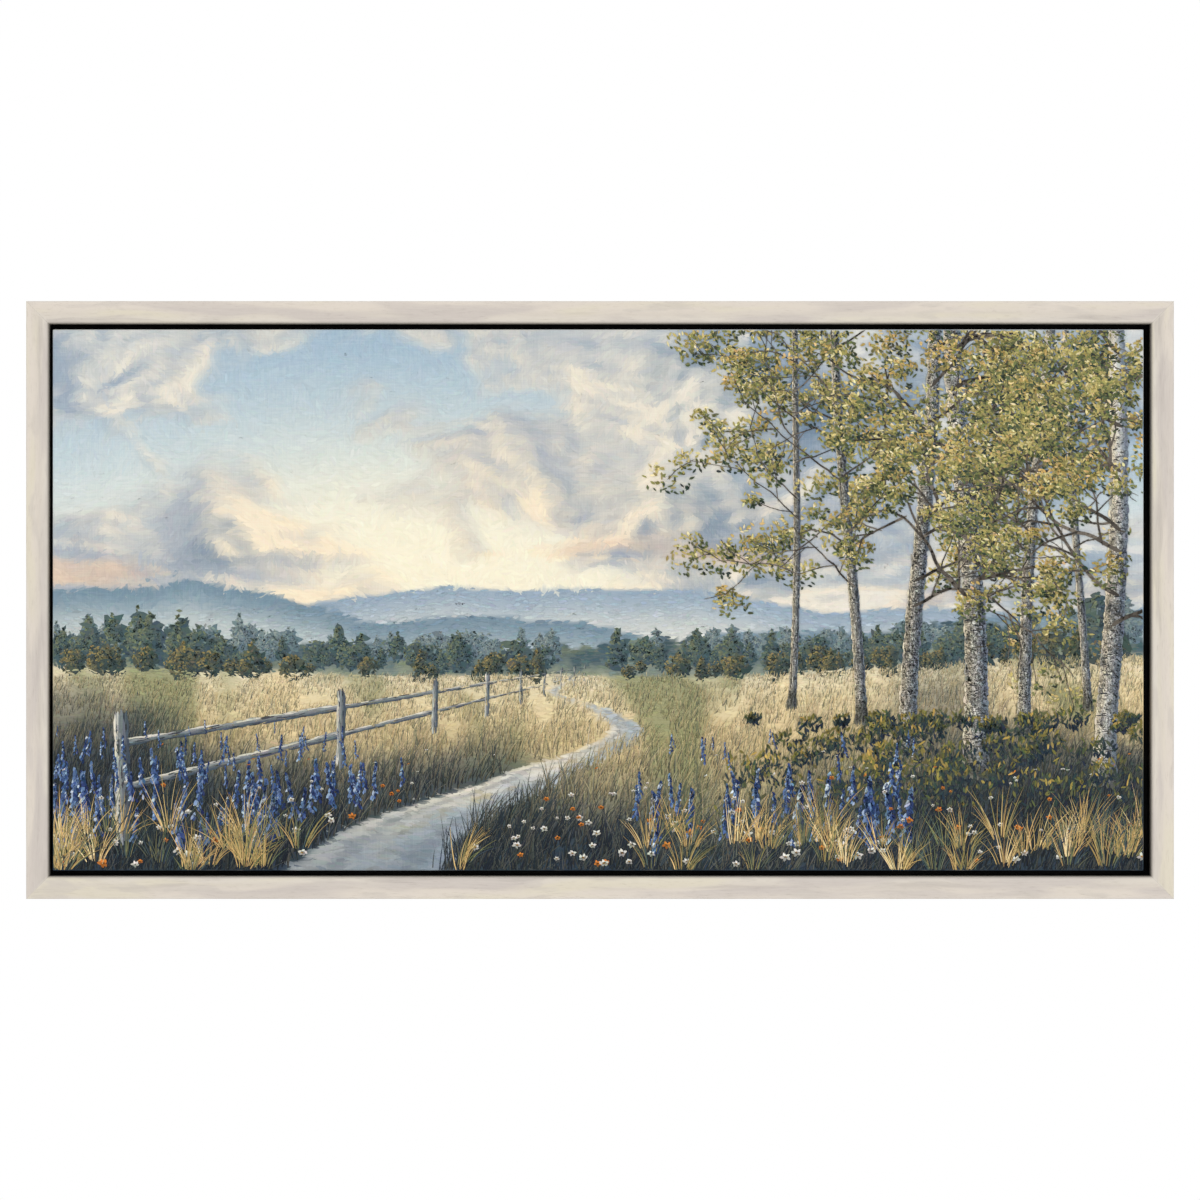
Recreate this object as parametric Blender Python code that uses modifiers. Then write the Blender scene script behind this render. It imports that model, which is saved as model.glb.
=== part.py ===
"""Framed canvas picture: a stretched canvas floating in a mitred L-section frame.

Units are metres. The picture hangs upright: +X runs along its width, +Z is up, the painted
face looks along -Y and the wall is on the +Y side. The origin is the middle of the whole box.
Depths are counted from the front of the frame towards the wall, insets from an outer edge
towards the middle of the picture.
"""

import math

import bmesh
import bpy
from mathutils import Matrix, Vector

MM = 0.001
GAP = 0.3 * MM  # clearance between pieces that touch

# Canvas
CANVAS_WIDTH = 1219.2 * MM
CANVAS_HEIGHT = 604.8 * MM
CANVAS_THICKNESS = 0.8 * MM
CANVAS_SHIFT = -2.1 * MM  # the canvas sits a little left of the frame's middle
FLAP_WIDTH = 34 * MM  # canvas turned over the back of the stretcher

# Frame moulding
FACE_WIDTH = 25.4 * MM
FRAME_DEPTH = 44 * MM
FLOAT_GAP = 6.2 * MM  # dark channel between moulding and canvas
LEDGE_THICKNESS = 8 * MM
LEDGE_WIDTH = 22 * MM
OUTER_EASE = 1.5 * MM
LIP_RADIUS = 3 * MM
LEDGE_EASE = 0.8 * MM

# Stretcher
FACE_RECESS = 3 * MM  # canvas face behind the frame's front
BAR_WIDTH = 38 * MM
BAR_LIP = 5 * MM  # strip of the bar that the canvas bears on
BAR_BEVEL_DEPTH = 3 * MM
BAR_EASE = 1 * MM
BRACE_WIDTH = 38 * MM
BRACE_FRONT = 13 * MM
BRACE_BACK = 31 * MM
BRACE_PLACE = 0.17  # of the canvas width, each side of its middle
BRACE_EASE = 1.2 * MM

# Corner keys
KEY_WIDTH = 20 * MM
KEY_TIP_WIDTH = 13 * MM
KEY_THICKNESS = 3 * MM
KEY_IN_SLOT = 12 * MM
KEY_SHOWING = 18 * MM
KEY_OFF_BAR = 3 * MM
KEY_ROUND = 1 * MM
KEY_DEPTHS = {"horizontal": 14 * MM, "vertical": 21 * MM}

# Screws that hold the canvas in the frame
SCREW_HEAD_RADIUS = 4 * MM
SCREW_HEAD_HEIGHT = 2.4 * MM
SCREW_RADIUS = 1.8 * MM
SCREW_LENGTH = 25 * MM
SCREW_POINT = 4 * MM
SCREW_SINK = 0.2 * MM
HOLE_RISE = 2 * MM  # how far a hole's cutter stands out of the wood
SCREW_INSET = FACE_WIDTH + 15 * MM
SCREW_SPREAD = 0.36  # of the outer width, each side of the middle
ROUND_STEPS = 16

# Hangers
HANGER_PLACE = 0.25  # of the outer width, each side of the middle
HANGER_INSET = 18 * MM
HANGER_LENGTH = 64 * MM
HANGER_HEIGHT = 14 * MM
HANGER_THICKNESS = 1 * MM
HANGER_RISE = 1.4 * MM
HANGER_FOOT = 11 * MM
HANGER_SLOPE = 3 * MM
TOOTH_PITCH = 4 * MM
TOOTH_DEPTH = 2.2 * MM
TOOTH_COUNT = 8
HANGER_SCREW_RADIUS = 1.3 * MM
HANGER_SCREW_HEAD = 2.8 * MM
HANGER_SCREW_HEIGHT = 1.2 * MM
HANGER_SCREW_LENGTH = 12 * MM

# Wall bumpers
BUMPER_RADIUS = 6 * MM
BUMPER_HEIGHT = 3 * MM
BUMPER_EASE = 0.5 * MM
BUMPER_INSET = 14 * MM
BUMPER_OFF_END = 60 * MM

# Derived sizes
OUTER_WIDTH = CANVAS_WIDTH + 2 * (FLOAT_GAP + FACE_WIDTH)
OUTER_HEIGHT = CANVAS_HEIGHT + 2 * (FLOAT_GAP + FACE_WIDTH)
WHOLE_DEPTH = FRAME_DEPTH + GAP + BUMPER_HEIGHT
FRONT_Y = -WHOLE_DEPTH / 2
LEDGE_FRONT = FRAME_DEPTH - LEDGE_THICKNESS
FACE_BACK = FACE_RECESS + CANVAS_THICKNESS
FLAP_BACK = LEDGE_FRONT - GAP
FLAP_FRONT = FLAP_BACK - CANVAS_THICKNESS
BAR_FRONT = FACE_BACK + GAP
BAR_BACK = FLAP_FRONT - GAP
BAR_INSET = CANVAS_THICKNESS + GAP
BAR_INNER = BAR_INSET + BAR_WIDTH

MATERIALS = {
    "frame_finish": ((0.66, 0.60, 0.52), 0.62, 0.0),
    "canvas": ((0.50, 0.55, 0.56), 0.80, 0.0),
    "stretcher_pine": ((0.58, 0.41, 0.24), 0.70, 0.0),
    "steel": ((0.56, 0.56, 0.55), 0.35, 1.0),
    "bumper": ((0.09, 0.09, 0.09), 0.90, 0.0),
}

# Each side is the top side turned about Y: angle, then whether it lies along X
SIDES = {
    "top": (0, True),
    "right": (90, False),
    "bottom": (180, True),
    "left": (270, False),
}


# ---------------------------------------------------------------- scene and materials


def clear_scene():
    for item in list(bpy.data.objects):
        bpy.data.objects.remove(item, do_unlink=True)


def new_collection(name):
    collection = bpy.data.collections.new(name)
    bpy.context.scene.collection.children.link(collection)
    return collection


def make_material(name):
    colour, roughness, metallic = MATERIALS[name]
    material = bpy.data.materials.new(name)
    material.use_nodes = True
    shader = material.node_tree.nodes["Principled BSDF"]
    shader.inputs["Base Color"].default_value = (*colour, 1)
    shader.inputs["Roughness"].default_value = roughness
    shader.inputs["Metallic"].default_value = metallic
    return material


def place(name, mesh, collection, finish=None):
    item = bpy.data.objects.new(name, mesh)
    collection.objects.link(item)
    if finish:
        material = bpy.data.materials.get(finish) or make_material(finish)
        mesh.materials.clear()
        mesh.materials.append(material)
    else:
        item.hide_render = True
        item.display_type = "WIRE"
    return item


# ---------------------------------------------------------------- shapes


def fillet(before, corner, after, radius, steps=6):
    """Points of an arc that rounds one corner of an outline."""
    corner, before, after = Vector(corner), Vector(before), Vector(after)
    to_before = (before - corner).normalized()
    to_after = (after - corner).normalized()
    half_angle = to_before.angle(to_after) / 2
    reach = radius / math.tan(half_angle)
    centre = corner + (to_before + to_after).normalized() * radius / math.sin(half_angle)
    start = corner + to_before * reach - centre
    sweep = math.pi - 2 * half_angle
    turn = 1 if to_before.x * to_after.y - to_before.y * to_after.x < 0 else -1
    points = []
    for step in range(steps + 1):
        angle = turn * sweep * step / steps
        rotated = Vector(
            (
                start.x * math.cos(angle) - start.y * math.sin(angle),
                start.x * math.sin(angle) + start.y * math.cos(angle),
            )
        )
        points.append(centre + rotated)
    return points


def outline(*corners):
    """A closed outline from (a, b) or (a, b, radius) corners."""
    points = []
    for index, corner in enumerate(corners):
        if len(corner) == 2:
            points.append(Vector(corner))
            continue
        before = corners[index - 1][:2]
        after = corners[(index + 1) % len(corners)][:2]
        points += fillet(before, corner[:2], after, corner[2])
    return points


def slab(points, thickness, matrix):
    """A flat outline given a thickness, centred on its plane, then put in place."""
    curve = bpy.data.curves.new("outline", "CURVE")
    curve.dimensions = "2D"
    curve.fill_mode = "BOTH"
    curve.extrude = thickness / 2
    spline = curve.splines.new("POLY")
    spline.points.add(len(points) - 1)
    for point, target in zip(spline.points, points):
        point.co = (target.x, target.y, 0, 1)
    spline.use_cyclic_u = True
    holder = bpy.data.objects.new("outline", curve)
    bpy.context.scene.collection.objects.link(holder)
    graph = bpy.context.evaluated_depsgraph_get()
    mesh = bpy.data.meshes.new_from_object(holder.evaluated_get(graph))
    bpy.data.objects.remove(holder, do_unlink=True)
    bpy.data.curves.remove(curve)
    mesh.transform(matrix)
    tidy(mesh)
    return mesh


def tidy(mesh):
    shape = bmesh.new()
    shape.from_mesh(mesh)
    bmesh.ops.remove_doubles(shape, verts=shape.verts, dist=0.01 * MM)
    bmesh.ops.recalc_face_normals(shape, faces=shape.faces)
    shape.to_mesh(mesh)
    shape.free()


def axes_matrix(first, second, third, origin=(0, 0, 0)):
    """The matrix that sends the local axes to three world directions."""
    matrix = Matrix((first, second, third)).transposed().to_4x4()
    matrix.translation = Vector(origin)
    return matrix


def depth_y(depth):
    return FRONT_Y + depth


def standing(depth):
    """The matrix that stands a flat outline upright, facing the front, at a depth."""
    return axes_matrix((1, 0, 0), (0, 0, 1), (0, -1, 0), (0, depth_y(depth), 0))


def side_bar(points, half_length, half_reach, mitred=True):
    """A bar of (depth, inset) section along the top side, its ends cut at 45 degrees."""
    matrix = axes_matrix((0, 1, 0), (0, 0, -1), (-1, 0, 0), (0, FRONT_Y, half_reach))
    mesh = slab(points, 2 * half_length, matrix)
    if mitred:
        cut_mitres(mesh, half_length, half_reach)
    return mesh


def cut_mitres(mesh, half_length, half_reach):
    shape = bmesh.new()
    shape.from_mesh(mesh)
    for direction in (-1, 1):
        normal = Vector((direction, 0, -1)).normalized()
        corner = Vector((direction * half_length, 0, half_reach)) - normal * GAP / 2
        everything = shape.verts[:] + shape.edges[:] + shape.faces[:]
        cut = bmesh.ops.bisect_plane(
            shape,
            geom=everything,
            dist=0.001 * MM,
            plane_co=corner,
            plane_no=normal,
            clear_outer=True,
        )
        rim = [item for item in cut["geom_cut"] if isinstance(item, bmesh.types.BMEdge)]
        bmesh.ops.holes_fill(shape, edges=rim, sides=0)
    bmesh.ops.remove_doubles(shape, verts=shape.verts, dist=0.01 * MM)
    bmesh.ops.recalc_face_normals(shape, faces=shape.faces)
    shape.to_mesh(mesh)
    shape.free()


def box_mesh(low, high):
    shape = bmesh.new()
    bmesh.ops.create_cube(shape, size=1)
    low, high = Vector(low), Vector(high)
    size = high - low
    for vert in shape.verts:
        scaled = Vector((vert.co.x * size.x, vert.co.y * size.y, vert.co.z * size.z))
        vert.co = scaled + (low + high) / 2
    mesh = bpy.data.meshes.new("box")
    shape.to_mesh(mesh)
    shape.free()
    return mesh


def turned(profile):
    """A solid turned about Z from an (radius, height) profile that starts and ends on the axis."""
    mesh = bpy.data.meshes.new("profile")
    shape = bmesh.new()
    verts = [shape.verts.new((radius, 0, height)) for radius, height in profile]
    for first, second in zip(verts, verts[1:]):
        shape.edges.new((first, second))
    shape.to_mesh(mesh)
    shape.free()
    holder = bpy.data.objects.new("profile", mesh)
    bpy.context.scene.collection.objects.link(holder)
    spin = holder.modifiers.new("spin", "SCREW")
    spin.steps = spin.render_steps = ROUND_STEPS
    spin.use_merge_vertices = True
    spin.merge_threshold = 0.01 * MM
    graph = bpy.context.evaluated_depsgraph_get()
    solid = bpy.data.meshes.new_from_object(holder.evaluated_get(graph))
    bpy.data.objects.remove(holder, do_unlink=True)
    bpy.data.meshes.remove(mesh)
    tidy(solid)
    return solid


def add_bevel(item, width, segments=2):
    bevel = item.modifiers.new("ease", "BEVEL")
    bevel.width = width
    bevel.segments = segments
    bevel.limit_method = "ANGLE"
    bevel.angle_limit = math.radians(40)
    return bevel


def cut_by(item, cutters):
    boolean = item.modifiers.new("holes", "BOOLEAN")
    boolean.operation = "DIFFERENCE"
    boolean.operand_type = "COLLECTION"
    boolean.collection = cutters
    boolean.solver = "EXACT"


def turn_to_side(item, angle, shift=0):
    item.rotation_euler = (0, math.radians(angle), 0)
    item.location = (shift, 0, 0)


def side_lengths(half_width, half_height, along_x):
    """Half length and half reach of one side of a rectangle."""
    return (half_width, half_height) if along_x else (half_height, half_width)


# ---------------------------------------------------------------- frame


def make_rails(parts, cutters):
    moulding = outline(
        (0, 0, OUTER_EASE),
        (0, FACE_WIDTH, LIP_RADIUS),
        (LEDGE_FRONT, FACE_WIDTH),
        (LEDGE_FRONT, FACE_WIDTH + LEDGE_WIDTH, LEDGE_EASE),
        (FRAME_DEPTH, FACE_WIDTH + LEDGE_WIDTH, LEDGE_EASE),
        (FRAME_DEPTH, 0, LEDGE_EASE),
    )
    for side, (angle, along_x) in SIDES.items():
        lengths = side_lengths(OUTER_WIDTH / 2, OUTER_HEIGHT / 2, along_x)
        rail = place("frame_rail_" + side, side_bar(moulding, *lengths), parts, "frame_finish")
        turn_to_side(rail, angle)
        cut_by(rail, cutters)


# ---------------------------------------------------------------- stretcher


def make_bars(parts, screw_cutters, slot_cutters):
    section = outline(
        (BAR_FRONT, BAR_INSET, BAR_EASE),
        (BAR_FRONT, BAR_INSET + BAR_LIP),
        (BAR_FRONT + BAR_BEVEL_DEPTH, BAR_INNER, BAR_EASE),
        (BAR_BACK, BAR_INNER, BAR_EASE),
        (BAR_BACK, BAR_INSET, BAR_EASE),
    )
    for side, (angle, along_x) in SIDES.items():
        lengths = side_lengths(CANVAS_WIDTH / 2, CANVAS_HEIGHT / 2, along_x)
        bar = place("stretcher_bar_" + side, side_bar(section, *lengths), parts, "stretcher_pine")
        turn_to_side(bar, angle, CANVAS_SHIFT)
        cut_by(bar, screw_cutters)
        cut_by(bar, slot_cutters)


def make_braces(parts):
    half_length = CANVAS_HEIGHT / 2 - BAR_INNER - GAP
    for side, direction in (("left", -1), ("right", 1)):
        middle = CANVAS_SHIFT + direction * BRACE_PLACE * CANVAS_WIDTH
        low = (middle - BRACE_WIDTH / 2, depth_y(BRACE_FRONT), -half_length)
        high = (middle + BRACE_WIDTH / 2, depth_y(BRACE_BACK), half_length)
        brace = place("cross_brace_" + side, box_mesh(low, high), parts, "stretcher_pine")
        add_bevel(brace, BRACE_EASE)


def make_keys(parts, slots):
    """A wedge in each end of each bar, lying flat in a slot that opens towards the middle."""
    for side, (angle, along_x) in SIDES.items():
        half_length, half_reach = side_lengths(CANVAS_WIDTH / 2, CANVAS_HEIGHT / 2, along_x)
        front = KEY_DEPTHS["horizontal" if along_x else "vertical"]
        mouth = half_reach - BAR_INNER
        for end, direction in (("start", -1), ("end", 1)):
            near = direction * (half_length - BAR_INNER - KEY_OFF_BAR)
            wedge = outline(
                (near, mouth - KEY_SHOWING, KEY_ROUND),
                (near, mouth + KEY_IN_SLOT, KEY_ROUND),
                (near - direction * KEY_TIP_WIDTH, mouth + KEY_IN_SLOT, KEY_ROUND),
                (near - direction * KEY_WIDTH, mouth - KEY_SHOWING, KEY_ROUND),
            )
            mesh = slab(wedge, KEY_THICKNESS, standing(front + KEY_THICKNESS / 2))
            key = place(f"stretcher_key_{side}_{end}", mesh, parts, "stretcher_pine")
            turn_to_side(key, angle, CANVAS_SHIFT)
            across = sorted((near + direction * GAP, near - direction * (KEY_WIDTH + GAP)))
            low = (across[0], depth_y(front) - GAP, mouth - KEY_SHOWING)
            high = (across[1], depth_y(front + KEY_THICKNESS) + GAP, mouth + KEY_IN_SLOT + GAP)
            slot = place(f"slot_{side}_{end}", box_mesh(low, high), slots)
            turn_to_side(slot, angle, CANVAS_SHIFT)


# ---------------------------------------------------------------- canvas


def make_canvas(parts, cutters):
    half_width, half_height = CANVAS_WIDTH / 2, CANVAS_HEIGHT / 2
    low = (CANVAS_SHIFT - half_width, depth_y(FACE_RECESS), -half_height)
    high = (CANVAS_SHIFT + half_width, depth_y(FACE_BACK), half_height)
    place("canvas_face", box_mesh(low, high), parts, "canvas")
    turned_edge = outline(
        (BAR_FRONT, 0),
        (FLAP_BACK, 0),
        (FLAP_BACK, FLAP_WIDTH),
        (FLAP_FRONT, FLAP_WIDTH),
        (FLAP_FRONT, CANVAS_THICKNESS),
        (BAR_FRONT, CANVAS_THICKNESS),
    )
    for side, (angle, along_x) in SIDES.items():
        lengths = side_lengths(half_width, half_height, along_x)
        wrap = place("canvas_wrap_" + side, side_bar(turned_edge, *lengths), parts, "canvas")
        turn_to_side(wrap, angle, CANVAS_SHIFT)
        cut_by(wrap, cutters)


# ---------------------------------------------------------------- screws, hangers, bumpers


def screw_profile(grow):
    """Countersunk screw, head up along Z with its face at height zero."""
    return [
        (0, 0),
        (SCREW_HEAD_RADIUS + grow, 0),
        (SCREW_RADIUS + grow, -SCREW_HEAD_HEIGHT),
        (SCREW_RADIUS + grow, SCREW_POINT - SCREW_LENGTH),
        (0, -SCREW_LENGTH - grow),
    ]


def facing_wall(x, depth, z):
    """The matrix that turns a part's Z towards the wall and puts it at a place."""
    return axes_matrix((1, 0, 0), (0, 0, -1), (0, 1, 0), (x, depth_y(depth), z))


def screw_places():
    """Three screws in the top and bottom ledges and one in each side ledge."""
    spread = SCREW_SPREAD * OUTER_WIDTH
    half_width, half_height = OUTER_WIDTH / 2, OUTER_HEIGHT / 2
    for side, level in (("top", half_height - SCREW_INSET), ("bottom", SCREW_INSET - half_height)):
        for number, x in enumerate((-spread, 0, spread), 1):
            yield f"frame_screw_{side}_{number}", x, level
    yield "frame_screw_left", SCREW_INSET - half_width, 0
    yield "frame_screw_right", half_width - SCREW_INSET, 0


def make_screws(parts, cutters):
    solid = turned(screw_profile(0))
    hole = turned([(0, HOLE_RISE), (SCREW_HEAD_RADIUS + GAP, HOLE_RISE)] + screw_profile(GAP)[1:])
    for name, x, z in screw_places():
        spot = facing_wall(x, FRAME_DEPTH - SCREW_SINK, z)
        place(name, solid.copy(), parts, "steel").matrix_world = spot
        place(name + "_hole", hole.copy(), cutters).matrix_world = spot


def hanger_mesh():
    """A strip with flat feet and a raised middle."""
    half = HANGER_LENGTH / 2
    foot = half - HANGER_FOOT
    right_side = [(half, 0), (foot, 0), (foot - HANGER_SLOPE, HANGER_RISE)]
    under = [(-x, off) for x, off in right_side] + right_side[::-1]
    over = [(x, off + HANGER_THICKNESS) for x, off in under[::-1]]
    points = [Vector(point) for point in under + over]
    return slab(points, HANGER_HEIGHT, Matrix())


def teeth_cutter():
    """A comb of notches along the lower edge of a hanger's raised middle, centred on its foot."""
    low = -HANGER_HEIGHT / 2 - GAP
    start = -TOOTH_COUNT * TOOTH_PITCH / 2
    points = [Vector((start, low - TOOTH_DEPTH))]
    for tooth in range(TOOTH_COUNT):
        points.append(Vector((start + tooth * TOOTH_PITCH, low)))
        points.append(Vector((start + (tooth + 0.5) * TOOTH_PITCH, low + TOOTH_DEPTH)))
    points.append(Vector((-start, low)))
    points.append(Vector((-start, low - TOOTH_DEPTH)))
    reach = 2 * (HANGER_RISE + HANGER_THICKNESS + GAP)
    return slab(points, reach, axes_matrix((1, 0, 0), (0, 0, 1), (0, -1, 0)))


def make_hangers(parts, cutters):
    """Two sawtooth strips on the back of the top rail, each held by two small screws."""
    level = OUTER_HEIGHT / 2 - HANGER_INSET
    back = FRAME_DEPTH + GAP
    seat = back + HANGER_THICKNESS + GAP
    teeth = new_collection("teeth_cutters")
    screw = turned(
        [
            (0, HANGER_SCREW_HEIGHT),
            (HANGER_SCREW_HEAD / 2, HANGER_SCREW_HEIGHT),
            (HANGER_SCREW_HEAD, HANGER_SCREW_HEIGHT / 2),
            (HANGER_SCREW_HEAD, 0),
            (HANGER_SCREW_RADIUS, 0),
            (HANGER_SCREW_RADIUS, SCREW_POINT - HANGER_SCREW_LENGTH),
            (0, -HANGER_SCREW_LENGTH),
        ]
    )
    hole = turned(
        [
            (0, GAP / 2),
            (HANGER_SCREW_RADIUS + GAP, GAP / 2),
            (HANGER_SCREW_RADIUS + GAP, SCREW_POINT - HANGER_SCREW_LENGTH),
            (0, -HANGER_SCREW_LENGTH - GAP),
        ]
    )
    for side, direction in (("left", -1), ("right", 1)):
        middle = direction * HANGER_PLACE * OUTER_WIDTH
        hanger = place("hanger_" + side, hanger_mesh(), parts, "steel")
        hanger.location = (middle, depth_y(back), level)
        comb = place(f"teeth_{side}", teeth_cutter(), teeth)
        comb.location = hanger.location
        for end, along in (("outer", direction), ("inner", -direction)):
            x = middle + along * (HANGER_LENGTH - HANGER_FOOT) / 2
            spot = facing_wall(x, seat, level)
            place(f"hanger_screw_{side}_{end}", screw.copy(), parts, "steel").matrix_world = spot
            place(f"hanger_hole_{side}_{end}", hole.copy(), cutters).matrix_world = spot
        cut_by(hanger, teeth)
        cut_by(hanger, cutters)


def make_bumpers(parts):
    profile = [
        (0, BUMPER_HEIGHT),
        (BUMPER_RADIUS - BUMPER_EASE, BUMPER_HEIGHT),
        (BUMPER_RADIUS, BUMPER_HEIGHT - BUMPER_EASE),
        (BUMPER_RADIUS, 0),
        (0, 0),
    ]
    solid = turned(profile)
    for side, direction in (("left", -1), ("right", 1)):
        for level, up in (("lower", -1), ("upper", 1)):
            x = direction * (OUTER_WIDTH / 2 - BUMPER_OFF_END)
            z = up * (OUTER_HEIGHT / 2 - BUMPER_INSET)
            bumper = place(f"bumper_{level}_{side}", solid.copy(), parts, "bumper")
            bumper.matrix_world = facing_wall(x, FRAME_DEPTH + GAP, z)


def build():
    clear_scene()
    parts = new_collection("framed_canvas_picture")
    screw_holes = new_collection("screw_cutters")
    slots = new_collection("slot_cutters")
    make_screws(parts, screw_holes)
    make_hangers(parts, screw_holes)
    make_rails(parts, screw_holes)
    make_keys(parts, slots)
    make_bars(parts, screw_holes, slots)
    make_braces(parts)
    make_canvas(parts, screw_holes)
    make_bumpers(parts)


build()
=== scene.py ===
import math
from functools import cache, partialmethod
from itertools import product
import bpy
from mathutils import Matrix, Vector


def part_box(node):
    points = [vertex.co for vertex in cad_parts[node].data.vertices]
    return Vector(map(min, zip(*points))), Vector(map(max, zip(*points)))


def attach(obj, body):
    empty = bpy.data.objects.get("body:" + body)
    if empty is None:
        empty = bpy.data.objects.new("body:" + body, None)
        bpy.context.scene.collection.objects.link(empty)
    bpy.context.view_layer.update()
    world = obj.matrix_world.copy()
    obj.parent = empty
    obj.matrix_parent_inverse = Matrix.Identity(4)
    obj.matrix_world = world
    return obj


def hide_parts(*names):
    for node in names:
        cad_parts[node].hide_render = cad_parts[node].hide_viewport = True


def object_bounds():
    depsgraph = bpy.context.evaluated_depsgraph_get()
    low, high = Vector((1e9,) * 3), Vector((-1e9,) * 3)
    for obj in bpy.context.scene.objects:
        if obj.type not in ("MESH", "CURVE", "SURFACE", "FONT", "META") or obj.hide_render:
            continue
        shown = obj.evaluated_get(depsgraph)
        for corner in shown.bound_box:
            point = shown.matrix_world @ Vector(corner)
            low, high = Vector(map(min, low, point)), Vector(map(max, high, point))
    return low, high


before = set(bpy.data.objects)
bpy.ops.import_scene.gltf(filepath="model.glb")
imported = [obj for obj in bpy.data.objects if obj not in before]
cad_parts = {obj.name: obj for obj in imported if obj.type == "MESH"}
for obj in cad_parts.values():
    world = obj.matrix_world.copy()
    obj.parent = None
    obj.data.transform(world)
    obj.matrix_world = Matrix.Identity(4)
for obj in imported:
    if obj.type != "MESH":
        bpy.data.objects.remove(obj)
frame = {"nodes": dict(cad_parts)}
cad_low, cad_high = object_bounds()

# The looks of a framed canvas picture: mitred whitewashed moulding with a dark channel, stretched
# canvas carrying a landscape laid on in brush strokes, pine stretcher, staples, screws and hangers.
# Metres. The painted face looks along -Y, the wall is on the +Y side, +Z is up. Insets are counted
# from an outer edge towards the middle, depths from the front of the frame towards the wall.

from types import SimpleNamespace

import bmesh
import bpy
import numpy as np
from mathutils import Matrix, Vector

MM = 0.001
QUARTER = math.pi / 2

# ---------------------------------------------------------------- sizes

FRONT = cad_low.y
HALF_WIDTH, HALF_HEIGHT = cad_high.x, cad_high.z
FACE_WIDTH, LEDGE_WIDTH = 25.4 * MM, 22 * MM
OUTER_EASE, LIP_RADIUS, LEDGE_EASE = 1.5 * MM, 3 * MM, 0.8 * MM
MITRE_GAP, UNEVENNESS = 0.04 * MM, 0.12 * MM
FRAME_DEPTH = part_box("frame_rail_top")[1].y - FRONT
FLAP_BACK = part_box("canvas_wrap_top")[1].y - FRONT
LEDGE_FRONT = FLAP_BACK + 0.3 * MM

# The canvas reaches RIGHT and TOP from its own MIDDLE, and lies RECESS behind the frame's front.
canvas_low, canvas_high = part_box("canvas_face")
MIDDLE = (canvas_low.x + canvas_high.x) / 2
RIGHT, TOP = (canvas_high.x - canvas_low.x) / 2, canvas_high.z
RECESS = canvas_low.y - FRONT
CLOTH_THICKNESS, CLOTH_ROUND, CORNER_ROUND = 0.5 * MM, 0.9 * MM, 1.3 * MM
FLAP_WIDTH, TURNED = 34 * MM, 66 * MM
# How far past the front edge the cloth of the folds lies, and how far inside it the paint ends
FOLD_BEYOND, PAINT_EDGE = 60 * MM, 0.9 * MM

SIDES = ("top", "right", "bottom", "left")


def each_side(across, upright):
    """Each side's name, turn about Y, half length and distance from the middle."""
    for number, side in enumerate(SIDES):
        sizes = (upright, across) if number % 2 else (across, upright)
        yield side, QUARTER * number, *sizes


# ---------------------------------------------------------------- meshes


def mesh_of(places, faces=(), edges=(), kinds=None):
    mesh = bpy.data.meshes.new("shape")
    faces = [[int(corner) for corner in face] for face in faces]
    mesh.from_pydata([tuple(place) for place in places], edges, faces)
    if kinds is not None:
        mesh.polygons.foreach_set("material_index", kinds)
    mesh.update()
    return mesh


def points_of(mesh):
    places = np.empty(len(mesh.vertices) * 3, np.float32)
    mesh.vertices.foreach_get("co", places)
    return places.reshape(-1, 3).astype(float)


def write(mesh, name, values):
    """Stores one number or one RGBA colour for each point of a mesh."""
    values = np.asarray(values, np.float32)
    kind, field = ("FLOAT", "value") if values.ndim == 1 else ("FLOAT_COLOR", "color")
    layer = mesh.attributes.get(name) or mesh.attributes.new(name, kind, "POINT")
    layer.data.foreach_set(field, values.ravel())


def read(mesh, name):
    values = np.empty(len(mesh.vertices), np.float32)
    mesh.attributes[name].data.foreach_get("value", values)
    return values.astype(float)


def forget(mesh, names):
    for name in names:
        mesh.attributes.remove(mesh.attributes[name])


def write_map(mesh, name, *places):
    """Stores a UV map from the u and the v of each point."""
    layer = mesh.uv_layers.new(name=name)
    owner = np.empty(len(mesh.loops), np.int32)
    mesh.loops.foreach_get("vertex_index", owner)
    layer.uv.foreach_set("vector", np.stack(places, 1).astype(np.float32)[owner].ravel())


def cloud_of(places, **values):
    """Bare points that carry values."""
    mesh = mesh_of(places)
    for name, numbers in values.items():
        write(mesh, name, numbers)
    return mesh


def face_outwards(mesh):
    shape = bmesh.new()
    shape.from_mesh(mesh)
    bmesh.ops.remove_doubles(shape, verts=shape.verts, dist=0.001 * MM)
    bmesh.ops.recalc_face_normals(shape, faces=shape.faces)
    shape.to_mesh(mesh)
    shape.free()
    return mesh


def lathe(profile, steps):
    """A solid turned about Z from (radius, height) points in millimetres, flat at both ends."""
    turns = [2 * math.pi * step / steps for step in range(steps)]
    profile = [(radius * MM, height * MM) for radius, height in profile]
    places = [(r * math.cos(turn), r * math.sin(turn), h) for r, h in profile for turn in turns]
    rows = np.arange(len(places)).reshape(-1, steps)
    faces = []
    for a, b in zip(rows, rows[1:]):
        faces += zip(a, np.roll(a, -1), np.roll(b, -1), b)
    return face_outwards(mesh_of(places, [*faces, rows[0], rows[-1][::-1]]))


def copied(solid, spots):
    """One mesh of a solid copied to every spot, its own Z axis turned to the wall."""
    facing_wall = Matrix(((1, 0, 0, 0), (0, 0, 1, 0), (0, -1, 0, 0), (0, 0, 0, 1)))
    shape = bmesh.new()
    for spot in spots:
        copy = solid.copy()
        copy.transform(Matrix.Translation(spot) @ facing_wall)
        shape.from_mesh(copy)
        bpy.data.meshes.remove(copy)
    made = bpy.data.meshes.new("copies")
    shape.to_mesh(made)
    shape.free()
    return made


def linked(name, data):
    item = bpy.data.objects.new(name, data)
    bpy.context.scene.collection.objects.link(item)
    return item


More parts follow.
